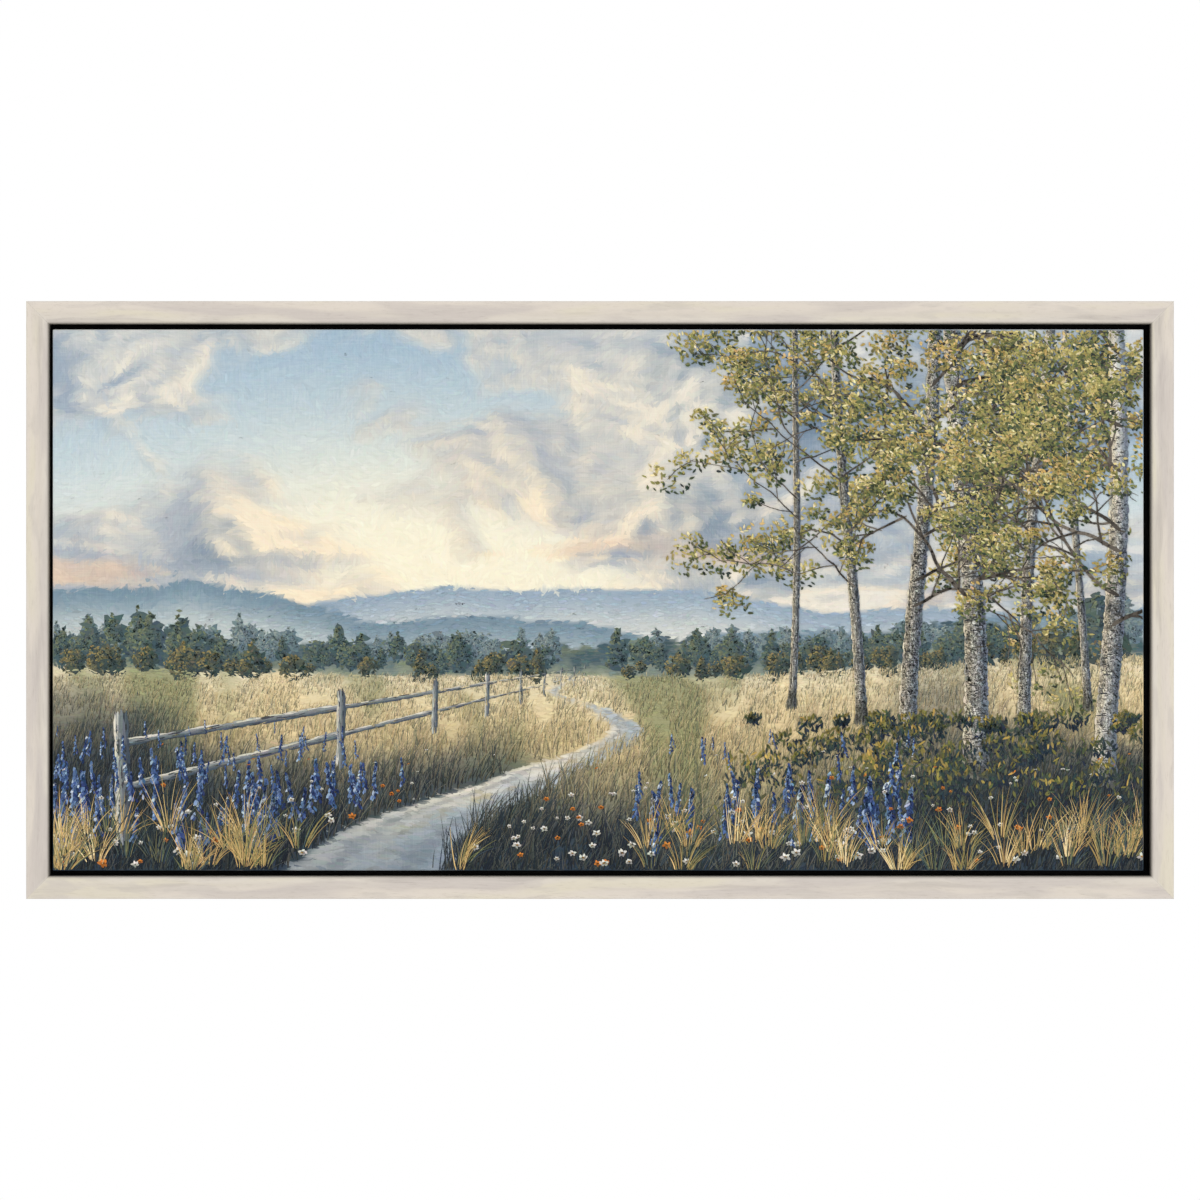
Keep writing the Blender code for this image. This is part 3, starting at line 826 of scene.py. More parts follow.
def make_moulding():
    """Four mitred sides, with countersunk holes in their ledges for the CAD screws."""
    inner = FACE_WIDTH + LEDGE_WIDTH
    outline = rounded([
        (0, 0, OUTER_EASE), (FACE_WIDTH, 0, LIP_RADIUS), (FACE_WIDTH, LEDGE_FRONT, 0),
        (inner, LEDGE_FRONT, LEDGE_EASE), (inner, FRAME_DEPTH, LEDGE_EASE),
        (0, FRAME_DEPTH, LEDGE_EASE),
    ])
    count = len(outline)
    edges = [(number, (number + 1) % count) for number in range(count)]
    mouth, bore = 4.3, 2.1
    hole = lathe([(mouth, 2), (mouth, 0), (bore, -2.5), (bore, -12)], 20)
    for lot, (side, turn, half_length, half_reach) in enumerate(each_side(HALF_WIDTH, HALF_HEIGHT)):
        section = mesh_of([(*point, 0) for point in outline], edges=edges)
        write(section, "inset", [point.x for point in outline])
        write(section, "depth", [point.y for point in outline])
        mesh = grown(
            moulding, section, stations=90 if lot % 2 else 150, half_length=half_length,
            half_reach=half_reach, front=FRONT, mitre_gap=MITRE_GAP, unevenness=UNEVENNESS,
            face_width=FACE_WIDTH, inner=inner, ledge=LEDGE_FRONT, back=FRAME_DEPTH,
            face_paint=CREAM, channel_paint=BLACK, bare_wood=BARE,
        )
        untwist = Matrix.Rotation(-turn, 4, "Y")
        screws = spots_of("frame_screw_" + side).values()
        holes = copied(hole, [untwist @ Vector((x, y + 0.2 * MM, z)) for x, y, z in screws])
        rail, drill = linked("rail", face_outwards(mesh)), linked("drill", holes)
        cut = rail.modifiers.new("holes", "BOOLEAN")
        cut.operation, cut.solver, cut.object = "DIFFERENCE", "EXACT", drill
        mesh = taken_from(rail)
        bpy.data.objects.remove(drill)
        bpy.data.meshes.remove(holes)
        x, y, z = points_of(mesh).T
        inset, depth = half_reach - z, y - FRONT
        write(mesh, "inset", inset)
        write(mesh, "lot", np.full(len(x), lot * 7.3))
        write(mesh, "corner", np.maximum(half_length - inset - np.abs(x), 0))
        write_map(mesh, "grain", x, inset + np.where(inset > FACE_WIDTH / 2, depth, -depth))
        mesh.transform(Matrix.Rotation(turn, 4, "Y"))
        piece("moulding_" + side, mesh, ["frame_rail_" + side], sharp=34)


# ---------------------------------------------------------------- the landscape: colours


@cache
def lattice(seed):
    angles = np.random.default_rng(seed).random((256, 256)) * 2 * np.pi
    return np.cos(angles), np.sin(angles)


def noise(x, y, seed):
    """Smooth gradient noise, about -0.7 to 0.7."""
    slope_x, slope_y = lattice(seed)
    cell_x, cell_y = np.floor(x).astype(int), np.floor(y).astype(int)
    x, y = x - cell_x, y - cell_y
    ease_x, ease_y = (t**3 * (t * (t * 6 - 15) + 10) for t in (x, y))

    def corner(i, j):
        a, b = (cell_x + i) & 255, (cell_y + j) & 255
        return slope_x[a, b] * (x - i) + slope_y[a, b] * (y - j)

    low, high = (corner(0, j) * (1 - ease_x) + corner(1, j) * ease_x for j in (0, 1))
    return low * (1 - ease_y) + high * ease_y


def billows(x, y, seed, octaves=5, gain=0.5):
    total, size = 0, 1
    for octave in range(octaves):
        shift_x, shift_y = 17.3 * octave, -9.1 * octave
        total = total + size * noise(x * 2**octave + shift_x, y * 2**octave + shift_y, seed)
        size *= gain
    return total


def rise(low, high, value):
    t = np.clip((value - low) / (high - low), 0, 1)
    return t * t * (3 - 2 * t)


def bell(value, width):
    return np.exp(-((value / width) ** 2))


def rgb(colour):
    """A colour between 0 and 1, out of 0 to 255 values where it is a tuple."""
    return np.array(colour) / 255 if isinstance(colour, tuple) else colour


def mix(first, second, share):
    share = np.asarray(share)[..., None]
    return rgb(first) * (1 - share) + rgb(second) * share


def scale_of(value, stops):
    """Colours along a scale of {position: colour}, or of colours an even step apart."""
    if isinstance(stops, list):
        stops = dict(zip(np.linspace(0, 1, len(stops)), stops))
    colours = np.array([*stops.values()]) / 255
    return np.stack([np.interp(value, [*stops], column) for column in colours.T], -1)


def cloud_density(x, z):
    bent_x = x + 0.05 * billows(x * 5, z * 7, 11, 3)
    bent_z = z + 0.03 * billows(x * 5 + 40, z * 7, 12, 3)
    return billows(bent_x * 2.3 + 3.1, bent_z * 4.6 + 1.7, 13, 5, 0.52)


# The sun's place behind the clouds
SUN_X, SUN_Z = -0.20, 0.045


def sky(x, z):
    colour = scale_of(z, {
        -0.09: (240, 214, 184), -0.02: (248, 232, 204), 0.05: (228, 232, 226),
        0.15: (188, 208, 220), 0.31: (156, 183, 205),
    })
    from_x, from_z = x - SUN_X, z - SUN_Z
    glow = np.exp(-((from_x / 0.38) ** 2 + (from_z / 0.15) ** 2))
    colour = mix(colour, (255, 246, 218), 0.92 * glow)
    density, away = cloud_density(x, z), np.hypot(from_x, from_z * 1.4)
    to_x, to_z = -from_x / (away + 0.05), -from_z / (away + 0.05) + 0.35
    beyond = cloud_density(x + to_x * 0.018, z + to_z * 0.018)
    edge = rise(0.30, 0.62, np.abs(x + 0.02))
    cover = density + 0.14 * rise(-0.02, 0.2, z) + 0.14 * edge - 0.16 * glow
    warm = bell(away, 0.46)
    light = mix((226, 226, 222), (255, 236, 204), warm)
    shade = mix((146, 166, 186), (196, 192, 192), 0.70 * warm)
    shade = mix(shade, (108, 130, 153), rise(0.05, 0.40, density) * (1 - 0.45 * warm))
    cloud = mix(shade, light, np.clip(0.45 + (density - beyond) * 6.5, 0, 1))
    colour = mix(colour, cloud, rise(-0.22, 0.0, cover) * 0.92)
    band = billows(x * 1.6 + 7, z * 16 + 2, 21, 4)
    pink = rise(-0.1, 0.3, billows(x * 4, z * 22, 22, 3))
    bands = mix((150, 160, 176), (226, 188, 160), pink)
    colour = mix(colour, bands, 0.55 * (rise(0.02, 0.22, band) * rise(0.13, 0.02, z)))
    rim = rise(0.0, 0.05, band) * rise(0.14, 0.05, band) * rise(0.12, 0.0, z)
    return mix(colour, (255, 224, 180), 0.5 * rim * (0.4 + 0.6 * glow))


def ridge(x, height, rough, seed, scale):
    return height + rough * billows(x * scale, x * 0 + seed * 1.7, seed, 4, 0.45)


def far_ridge(x):
    return ridge(x, -0.002, 0.045, 31, 2.6) + 0.02 * bell(x - 0.1, 0.2)


def below(z, line):
    return rise(0.001, -0.001, z - line)


def hills(x, z, colour):
    for line, haze, far, near in (
        (far_ridge(x), 0.055, (154, 174, 192), (214, 217, 212)),
        (ridge(x, -0.026, 0.04, 32, 3.4) + 0.03 * rise(-0.2, -0.55, x), 0.05,
         (120, 145, 162), (194, 204, 204)),
    ):
        tint = mix(far, near, rise(haze, 0.0, z - (line - haze)))
        colour = mix(colour, tint, below(z, line))
    line = ridge(x, -0.052, 0.03, 33, 4.2) + 0.018 * rise(0.1, 0.5, x)
    line = line + 0.012 * noise(x * 60, x * 0, 34) + 0.006 * noise(x * 150, x * 0 + 3, 35)
    wood = rise(-0.1, 0.4, billows(x * 30, z * 40, 36, 3))
    tint = mix((70, 93, 102), (118, 130, 110), wood)
    tint = mix(tint, (160, 166, 148), 0.7 * rise(0.035, 0.0, z - (line - 0.042)))
    return mix(colour, tint, below(z, line))


def meadow_edge(x):
    edge = -0.084 + 0.006 * noise(x * 4, x * 0 + 5, 41)
    return edge + 0.022 * rise(0.1, 0.6, x) + 0.010 * rise(-0.25, -0.6, x)


# The footpath's middle x, height z and half width, from near to far
PATH_X, PATH_Z, PATH_HALF = np.array([
    (-0.30, -0.34, 0.105), (-0.20, -0.25, 0.070), (-0.055, -0.19, 0.038), (0.03, -0.15, 0.021),
    (0.00, -0.122, 0.011), (-0.05, -0.104, 0.006), (-0.03, -0.09, 0.0025),
]).T


def path_at(z):
    """The footpath's middle and half width at a height, on a smooth line through its places."""
    t = np.interp(z, PATH_Z, np.arange(len(PATH_Z)))
    i = np.clip(np.floor(t).astype(int), 0, len(PATH_Z) - 2)
    f = t - i

    def through(v):
        v = np.concatenate([[2 * v[0] - v[1]], v, [2 * v[-1] - v[-2]]])
        a, b, c, d = v[i], v[i + 1], v[i + 2], v[i + 3]
        bend = (2 * a - 5 * b + 4 * c - d) * f**2 + (3 * b - a - 3 * c + d) * f**3
        return 0.5 * (2 * b + (c - a) * f + bend)

    return through(PATH_X), through(PATH_HALF)


def evening_shade(x, z, near):
    patches = 0.5 * billows(x * 3 + 4, z * 5, 43, 4)
    return near + patches + 0.42 * rise(-0.15, -0.60, x) + 0.26 * rise(0.12, 0.6, x)


def meadow(x, z, colour):
    edge = meadow_edge(x)
    near = np.clip((edge - z) / (edge + TOP), 0, 1)
    field = scale_of(near, {
        0: (228, 217, 186), 0.12: (236, 219, 176), 0.35: (214, 192, 144), 0.7: (152, 146, 112),
        1: (80, 94, 94),
    })
    patch = billows(x * 7 + 3, z * 30 / (0.35 + near), 42, 4)
    field = mix(field, (132, 138, 96), 0.70 * rise(0.0, 0.38, patch))
    bright = 0.6 * rise(-0.08, -0.42, patch) * rise(0.75, 0.1, near)
    field = mix(field, (244, 220, 170), bright)
    field = mix(field, (34, 50, 68), 0.80 * rise(0.30, 0.95, evening_shade(x, z, near)))
    centre, half = path_at(z)
    across = (x - centre + half * 0.16 * billows(x * 40, z * 50, 44, 3)) / half
    patch = rise(-0.9, 0.9, across + 1.1 * billows(x * 16, z * 34, 45, 3))
    dirt = mix((232, 224, 206), (180, 190, 196), patch)
    dirt = mix(dirt, (122, 126, 126), 0.5 * bell(np.abs(across) - 0.5, 0.16))
    crown = bell(across, 0.2) * rise(-0.2, 0.3, billows(x * 40, z * 60, 46, 3))
    dirt = mix(dirt, (156, 138, 92), 0.55 * crown)
    dirt = mix(dirt, (96, 114, 132), 0.55 * rise(0.5, 1.0, near))
    field = mix(field, dirt, rise(1.06, 0.86, np.abs(across)))
    return mix(colour, field, below(z, edge))


def landscape(x, z):
    """The picture's ground colours at places on the canvas, counted from its middle."""
    return np.clip(meadow(x, z, hills(x, z, sky(x, z))), 0, 1)


# ---------------------------------------------------------------- the landscape: strokes

DAB, BLADE = 0, 1
# Each layer draws its strokes from one seeded source, in the order that paint_picture lays them
rng = np.random.default_rng(7)
uniform, normal = rng.uniform, rng.normal


def strokes(x, z, turn, long, wide, colour, bend=0, kind=DAB):
    """Brush strokes by place, turn, size, colour and bend. A blade grows from its place."""
    count = len(x)
    sizes = {"x": x, "z": z, "turn": turn, "long": long, "wide": wide, "bend": bend, "kind": kind}
    made = {word: np.broadcast_to(np.asarray(v, float), count) for word, v in sizes.items()}
    return made | {"colour": np.clip(np.broadcast_to(rgb(colour), (count, 3)), 0, 1)}


def gathered(parts):
    return {word: np.concatenate([part[word] for part in parts]) for word in parts[0]}


def kept(where, *values):
    return [value[where] for value in values]


def varied(colour, value, hue):
    """Colours, each a little lighter or darker and a little off."""
    colour = colour * (1 + normal(0, value, (len(colour), 1)))
    return np.clip(colour + normal(0, hue, (len(colour), 3)), 0, 1)


def scattered(count, low_z, high_z=TOP):
    return uniform(-RIGHT, RIGHT, count), uniform(low_z, high_z, count)


def sky_strokes(count, length, width, value):
    """Strokes that follow the clouds' edges. The finest of them keep to the edges."""
    x, z = scattered(count, -0.06)
    x, z = kept(z > far_ridge(x) + 0.3 * width, x, z)
    step_x = cloud_density(x + 0.004, z) - cloud_density(x - 0.004, z)
    step_z = cloud_density(x, z + 0.004) - cloud_density(x, z - 0.004)
    strength = np.clip(np.hypot(step_x, step_z) * 14, 0, 1)
    flow = billows(x * 3, z * 5, 51, 3) * 1.2
    turn = strength * np.arctan2(step_x, -step_z + 1e-6) + (1 - strength) * flow
    turn = turn + normal(0, 0.18, len(x))
    if length < 0.012:
        x, z, turn = kept(strength > 0.25, x, z, turn)
    colour = varied(landscape(x, z), value, 0.006)
    long, wide = (size * uniform(0.6, 1.3, len(x)) for size in (length, width))
    return strokes(x, z, turn, long, wide, colour, normal(0, 0.10, len(x)))


def hill_strokes():
    x, z = scattered(9000, -0.10, 0.07)
    long, wide = uniform(0.004, 0.012, len(x)), uniform(0.0014, 0.0034, len(x))
    turn = np.arctan2(far_ridge(x + 0.004) - far_ridge(x - 0.004), 0.008)
    turn = turn + normal(0, 0.12, len(x))
    ends = [(x + way * long * np.cos(turn), z + way * long * np.sin(turn)) for way in (-0.5, 0.5)]
    inside = np.all([end_z < far_ridge(end_x) - wide * 0.4 for end_x, end_z in ends], 0)
    x, z, long, wide, turn = kept(inside, x, z, long, wide, turn)
    colour = varied(landscape(x, z), 0.03, 0.008)
    return strokes(x, z, turn, long, wide, colour, normal(0, 0.06, len(x)))


def inside_clump(shape, power):
    """Places inside round clumps, counted from their middles: aside and up."""
    angle, reach = uniform(0, 2 * np.pi, shape), uniform(0, 1, shape) ** power
    return reach * np.cos(angle), reach * np.sin(angle)


def far_trees():
    """Round and pointed trees along the foot of the hills: a loose dark mass, then its leaves."""
    made = []
    for count, foot, size, dark, light in (
        (110, -0.060, 0.015, (98, 118, 128), (146, 158, 152)),
        (90, -0.072, 0.018, (66, 86, 94), (120, 128, 100)),
        (64, -0.084, 0.015, (56, 72, 74), (156, 138, 88)),
    ):
        x = uniform(-RIGHT, RIGHT, (count, 1))
        x = x[np.abs(x + 0.02) > 0.03][:, None]
        z = foot + 0.018 * rise(0.1, 0.6, x) + 0.008 * rise(-0.25, -0.6, x)
        z = z + normal(0, 0.003, x.shape)
        r = size * uniform(0.55, 1.35, x.shape) * (1 + 0.5 * rise(0.25, 0.6, np.abs(x)))
        pointed = uniform(0, 1, x.shape) < 0.4
        mass, leafage = (16, 0.8, 0.62, 0.34, 0.35), (74, 1, 0.27, 0.14, 1)
        for leaves, share, long, wide, glow in (mass, leafage):
            side, up = (share * way for way in inside_clump((len(x), leaves), 0.5))
            lean = np.where(pointed, 0.85 * (0.5 - 0.5 * up) ** 0.8, 0.75)
            leaf_x = (x + r * side * lean).ravel()
            leaf_z = (z + r * (0.60 + up) * np.where(pointed, 1.05, 0.75)).ravel()
            lit = np.clip(0.5 - 0.45 * side + 0.35 * up + normal(0, 0.2, up.shape), 0, 1)
            lit = lit.ravel() ** 1.4 * glow
            colour = varied(mix(dark, light, lit), 0.03, 0.008)
            size = np.repeat(r, leaves) * uniform(0.6, 1.3, lit.size) * (0.5 + 0.5 * (1 - lit))
            turn = uniform(-1.2, 1.2, lit.size)
            made.append(strokes(leaf_x, leaf_z, turn, size * long, size * wide, colour))
    return made


def ground_dabs():
    made = []
    for count, size in ((5000, 1.0), (7000, 0.55)):
        x, z = scattered(count, -TOP, -0.078)
        x, z = kept(z < meadow_edge(x), x, z)
        long = (0.006 + 0.026 * (meadow_edge(x) - z) / 0.22) * size * uniform(0.6, 1.3, len(x))
        colour = varied(landscape(x, z), 0.035, 0.01)
        turn = normal(0, 0.25, len(x)) + 0.25 * np.clip(x, -0.5, 0.5)
        made.append(strokes(x, z, turn, long, long * 0.28, colour, normal(0, 0.1, len(x))))
    return gathered(made)


def on_path(x, z, grow=1.0):
    centre, half = path_at(z)
    return np.abs(x - centre) < half * grow


GRASS_ROWS, FAR_ROWS = 46, 22


def grass():
    """Blades row by row from far to near, so that near grass lies over far grass."""
    made = []
    for row in range(GRASS_ROWS):
        t = (row / (GRASS_ROWS - 1)) ** 1.35
        count = int(840 - 330 * t)
        x = uniform(-RIGHT, RIGHT, count)
        z = -0.088 - t * (TOP - 0.060) + 0.022 * rise(0.1, 0.6, x) * (1 - t)
        z = z + normal(0, 0.002 + 0.006 * t, count)
        clump = billows(x * (26 - 16 * t), z * 40, 61, 3)
        x, z, clump = kept(~on_path(x, z) & (clump > -0.30), x, z, clump)
        count = len(x)
        long = (0.004 + 0.040 * t) * uniform(0.5, 1.35, count) * (1 + 0.8 * clump)
        wide = 0.0007 + 0.0008 * t * uniform(0.6, 1.4, count)
        pick = uniform(0, 1, count)
        light = mix((210, 178, 120), (246, 228, 182), uniform(0, 1, count))
        dark = mix((48, 66, 76), (114, 114, 78), uniform(0, 1, count))
        colour = mix(landscape(x, np.minimum(z, -0.10)), light, 0.55 * (pick > 0.62))
        colour = varied(mix(colour, dark, 0.62 * (pick < 0.24)), 0.06, 0.012)
        shade = rise(0.42, 1.05, evening_shade(x, z, t))
        colour = mix(colour, colour * rgb((88, 108, 136)), 0.78 * shade)
        tuft = noise(x * (150 - 95 * t), z * 60 + row * 3.1, 62)
        turn = QUARTER - 0.10 + (0.30 + 0.45 * t) * tuft + normal(0.0, 0.10 + 0.04 * t, count)
        bend = 0.22 * tuft + normal(-0.06, 0.07, count)
        made.append(strokes(x, z, turn, long, wide, colour, bend, BLADE))
    return made


def split_wood(start, end, wide):
    """Weathered wood painted along its length from one place to another, lit from above."""
    (x0, z0), (x1, z1) = start, end
    length, turn = math.hypot(x1 - x0, z1 - z0), math.atan2(z1 - z0, x1 - x0)
    count = min(max(10, int(length * wide * 1.86e5)), 260)
    u, w = uniform(0, 1, count), uniform(-0.5, 0.5, count)
    x = x0 + (x1 - x0) * u - math.sin(turn) * w * wide * 0.86
    z = z0 + (z1 - z0) * u + math.cos(turn) * w * wide * 0.86
    light = np.clip(0.5 + w, 0, 1)
    colour = mix((64, 76, 88), (176, 178, 174), light)
    bright = (light > 0.78) * (uniform(0, 1, count) > 0.35)
    colour = mix(colour, (226, 220, 202), 0.8 * bright)
    colour = mix(colour, (44, 50, 58), 0.8 * (uniform(0, 1, count) > 0.90))
    colour = varied(colour, 0.05, 0.01)
    turn = turn + normal(0, 0.05, count)
    long = min(length * 0.35, 0.018) * uniform(0.5, 1.2, count) * (0.5 + 0.5 * wide / 0.012)
    return strokes(x, z, turn, long, wide * uniform(0.14, 0.26, count), colour)


# Sizes at the nearest post. The farthest one looks SHRINKING times smaller.
POSTS, SHRINKING, POST_HEIGHT, POST_WIDTH, RAIL_WIDTH = 9, 6.2, 0.125, 0.016, 0.0105


def fence():
    """Split rails on posts, from near on the left to far in the middle."""
    made, posts = [], []
    for t in np.linspace(0, 1, POSTS):
        size = 1 / (1 + (SHRINKING - 1) * t)
        gone = (1 - size) / (1 - 1 / SHRINKING)
        posts.append((-0.53 + 0.515 * gone, -0.262 + 0.170 * gone, size))
    for near, far in reversed([*zip(posts, posts[1:])]):
        for level in (0.42, 0.82):
            ends = [(x, z + POST_HEIGHT * size * level) for x, z, size in (near, far)]
            made.append(split_wood(*ends, RAIL_WIDTH / 2 * (near[2] + far[2])))
        x, z, size = far
        head = x + 0.002 * size, z + POST_HEIGHT * size
        made.append(split_wood((x, z), head, POST_WIDTH * size))
    x, z, _ = posts[0]
    made.append(split_wood((x, z), (x - 0.003, z + 0.128), 0.017))
    return gathered(made)


# Birch trunks: x of the foot, z of the foot, width, lean, sway, phase
TRUNKS = [
    (0.215, -0.118, 0.0075, 0.02, 0.004, 0.4), (0.545, -0.120, 0.0080, -0.05, 0.003, 2.0),
    (0.290, -0.135, 0.0110, -0.05, 0.005, 1.3), (0.475, -0.150, 0.0130, 0.06, 0.005, 3.0),
    (0.350, -0.172, 0.0180, 0.045, 0.006, 4.2), (0.420, -0.196, 0.0250, -0.035, 0.007, 0.2),
    (0.570, -0.205, 0.0230, 0.02, 0.006, 5.1),
]


def trunk_x(trunk, z):
    x0, z0, _, lean, sway, phase = trunk
    return x0 + lean * (z - z0) + sway * np.sin((z - z0) * 9 + phase)


def trunk_half(trunk, z):
    """Half a trunk's width at a height, before its foot spreads."""
    return trunk[2] / 2 * (1 - 0.35 * (z - trunk[1]) / 0.5)


# Strokes of bark lie in rows up a trunk, which runs on a little past the canvas's edge.
BARK_PITCH, BARK_COLUMNS, TRUNK_TOP = 0.0022, 7, TOP + 0.004


def trunks():
    """Bark lit from the left, then the dark marks across it."""
    made = []
    for trunk in TRUNKS:
        x0, z0, wide = trunk[:3]
        tall = TRUNK_TOP - z0
        rows = int(tall / BARK_PITCH)
        z = np.repeat(np.linspace(z0, TRUNK_TOP, rows), BARK_COLUMNS)
        count = len(z)
        z = z + normal(0, 0.001, count)
        w = np.tile(np.linspace(-1, 1, BARK_COLUMNS), rows) * 0.86 + normal(0, 0.07, count)
        half = trunk_half(trunk, z) * (1 + 0.5 * np.exp(-(z - z0) / 0.012))
        colour = scale_of(np.clip(0.62 - 0.55 * w, 0, 1), {
            0: (92, 104, 120), 0.25: (140, 150, 162), 0.5: (196, 198, 196), 0.8: (240, 234, 218),
            1: (228, 216, 190),
        })
        blotch = billows(w * 1.3 + x0 * 40, z * 55, 71, 3)
        colour = mix(colour, (110, 116, 124), 0.55 * rise(0.12, 0.42, blotch))
        colour = mix(colour, (70, 72, 66), 0.75 * rise(0.035, 0.0, z - z0 + 0.02 * blotch))
        colour = varied(colour, 0.035, 0.008)
        turn, long = QUARTER + normal(0, 0.1, count), uniform(0.006, 0.012, count)
        x = trunk_x(trunk, z) + w * half
        made.append(strokes(x, z, turn, long, wide * uniform(0.14, 0.24, count), colour))
        count = int(150 * tall / 0.45)
        z = z0 + tall * uniform(0, 1, count)
        w = uniform(-0.9, 0.9, count)
        half = trunk_half(trunk, z)
        colour = mix((40, 44, 50), (96, 92, 84), uniform(0, 1, count))
        x = trunk_x(trunk, z) + w * half * 0.8
        turn, long = normal(0.05, 0.12, count), half * uniform(0.25, 1.0, count)
        thin = np.maximum(0.0006, wide * uniform(0.02, 0.07, count))
        made.append(strokes(x, z, turn, long, thin, colour, normal(0, 0.08, count)))
    return made


# Branches of one trunk, the length of a twig's steps, and how often it forks at most
BRANCHES, TWIG_STEP, FORKS = 9, 0.010, 2


def branches():
    """Twigs that fork off the trunks, and the places of their tips."""
    twigs, tips = [], []
    for trunk, number in product(TRUNKS, range(BRANCHES)):
        z0, wide = trunk[1:3]
        z = z0 + (TOP - z0) * (0.34 + 0.62 * (number + uniform(0, 1)) / BRANCHES)
        side = rng.choice((-1, 1))
        turn = QUARTER - side * uniform(0.7, 1.15)
        length = uniform(0.05, 0.12) * (0.6 + wide / 0.03)
        growing = [(trunk_x(trunk, z), z, turn, length, wide * 0.20, 0)]
        while growing:
            x, z, turn, length, thick, order = growing.pop()
            steps = max(3, int(length / TWIG_STEP))
            step = length / steps
            for done in range(steps):
                thin = max(0.0007, thick * (1 - 0.6 * done / steps))
                middle = (x + math.cos(turn) * step / 2, z + math.sin(turn) * step / 2)
                twigs.append((*middle, turn, step * 1.7, thin))
                x, z = x + math.cos(turn) * step, z + math.sin(turn) * step
                turn += normal(0, 0.16) - 0.05 * side * (turn < QUARTER)
                if order < FORKS and uniform() < 0.30:
                    fork = turn + rng.choice((-1, 1)) * uniform(0.4, 0.9)
                    shorter = length * uniform(0.35, 0.6)
                    growing.append((x, z, fork, shorter, thick * 0.55, order + 1))
            tips.append((x, z))
    colour = mix((58, 54, 50), (120, 112, 102), uniform(0, 1, len(twigs)))
    return strokes(*np.array(twigs).T, colour), tips


def leafy_clump(x, z, r, count, spread, light, colour_of, value, turn, long):
    """Leaves in a clump. Light is its middle's, how it falls aside and grows up, and its spread."""
    side, up = inside_clump(count, 0.6)
    lit = light[0] - light[1] * side + light[2] * up + normal(0, light[3], count)
    colour = varied(colour_of(np.clip(lit, 0, 1)), value, 0.012)
    turn, long = normal(*turn, count), uniform(*long, count)
    wide = uniform(0.0016, 0.0030, count)
    return strokes(x + r * spread * side, z + r * 0.8 * up, turn, long, wide, colour)


LEAVES = [
    (44, 56, 50), (84, 94, 64), (126, 126, 78), (164, 154, 92), (202, 184, 118), (236, 222, 174),
]


def birch_leaf(lit):
    return mix(scale_of(lit, LEAVES), (214, 138, 66), 0.30 * (uniform() > 0.80) * lit)


def crowns(tips):
    clumps = []
    for x, z in tips:
        if uniform() < 0.85:
            clumps.append((x, z, uniform(0.010, 0.026)))
    for _ in range(66):
        x, z = normal(0.42, 0.12), uniform(0.08, 0.33)
        clumps.append((max(x, 0.16), z + 0.10 * abs(x - 0.4), uniform(0.012, 0.030)))
    light, sizes = (0.46, 0.26, 0.34, 0.17), ((-0.5, 0.8), (0.0030, 0.0064))
    return [
        leafy_clump(x, z, r, int(24 + r * 1500), 1.25, light, birch_leaf, 0.05, *sizes)
        for x, z, r in clumps
        if x <= RIGHT + 0.02 and z <= TOP + 0.03
    ]


def bush_leaf(lit):
    shades = {0: (30, 44, 58), 0.35: (56, 70, 64), 0.65: (112, 108, 58), 1: (204, 170, 90)}
    return scale_of(lit, shades)


def undergrowth():
    light, sizes = (0.3, 0.22, 0.42, 0.15), ((QUARTER, 0.6), (0.004, 0.009))
    made = []
    for _ in range(96):
        x = 0.17 + (RIGHT - 0.16) * uniform(0, 1) ** 0.8
        foot = -0.132 - 0.10 * uniform(0, 1) ** 1.5
        r = (0.008 + 0.018 * (-foot - 0.12) / 0.1) * uniform(0.6, 1.5)
        clump = leafy_clump(x, foot, r, 40, 1.3, light, bush_leaf, 0.06, *sizes)
        made.append((foot, clump))
    return gathered([clump for _, clump in sorted(made, key=lambda item: -item[0])])


SPIKES, ROUND_HEADS = 170, 240


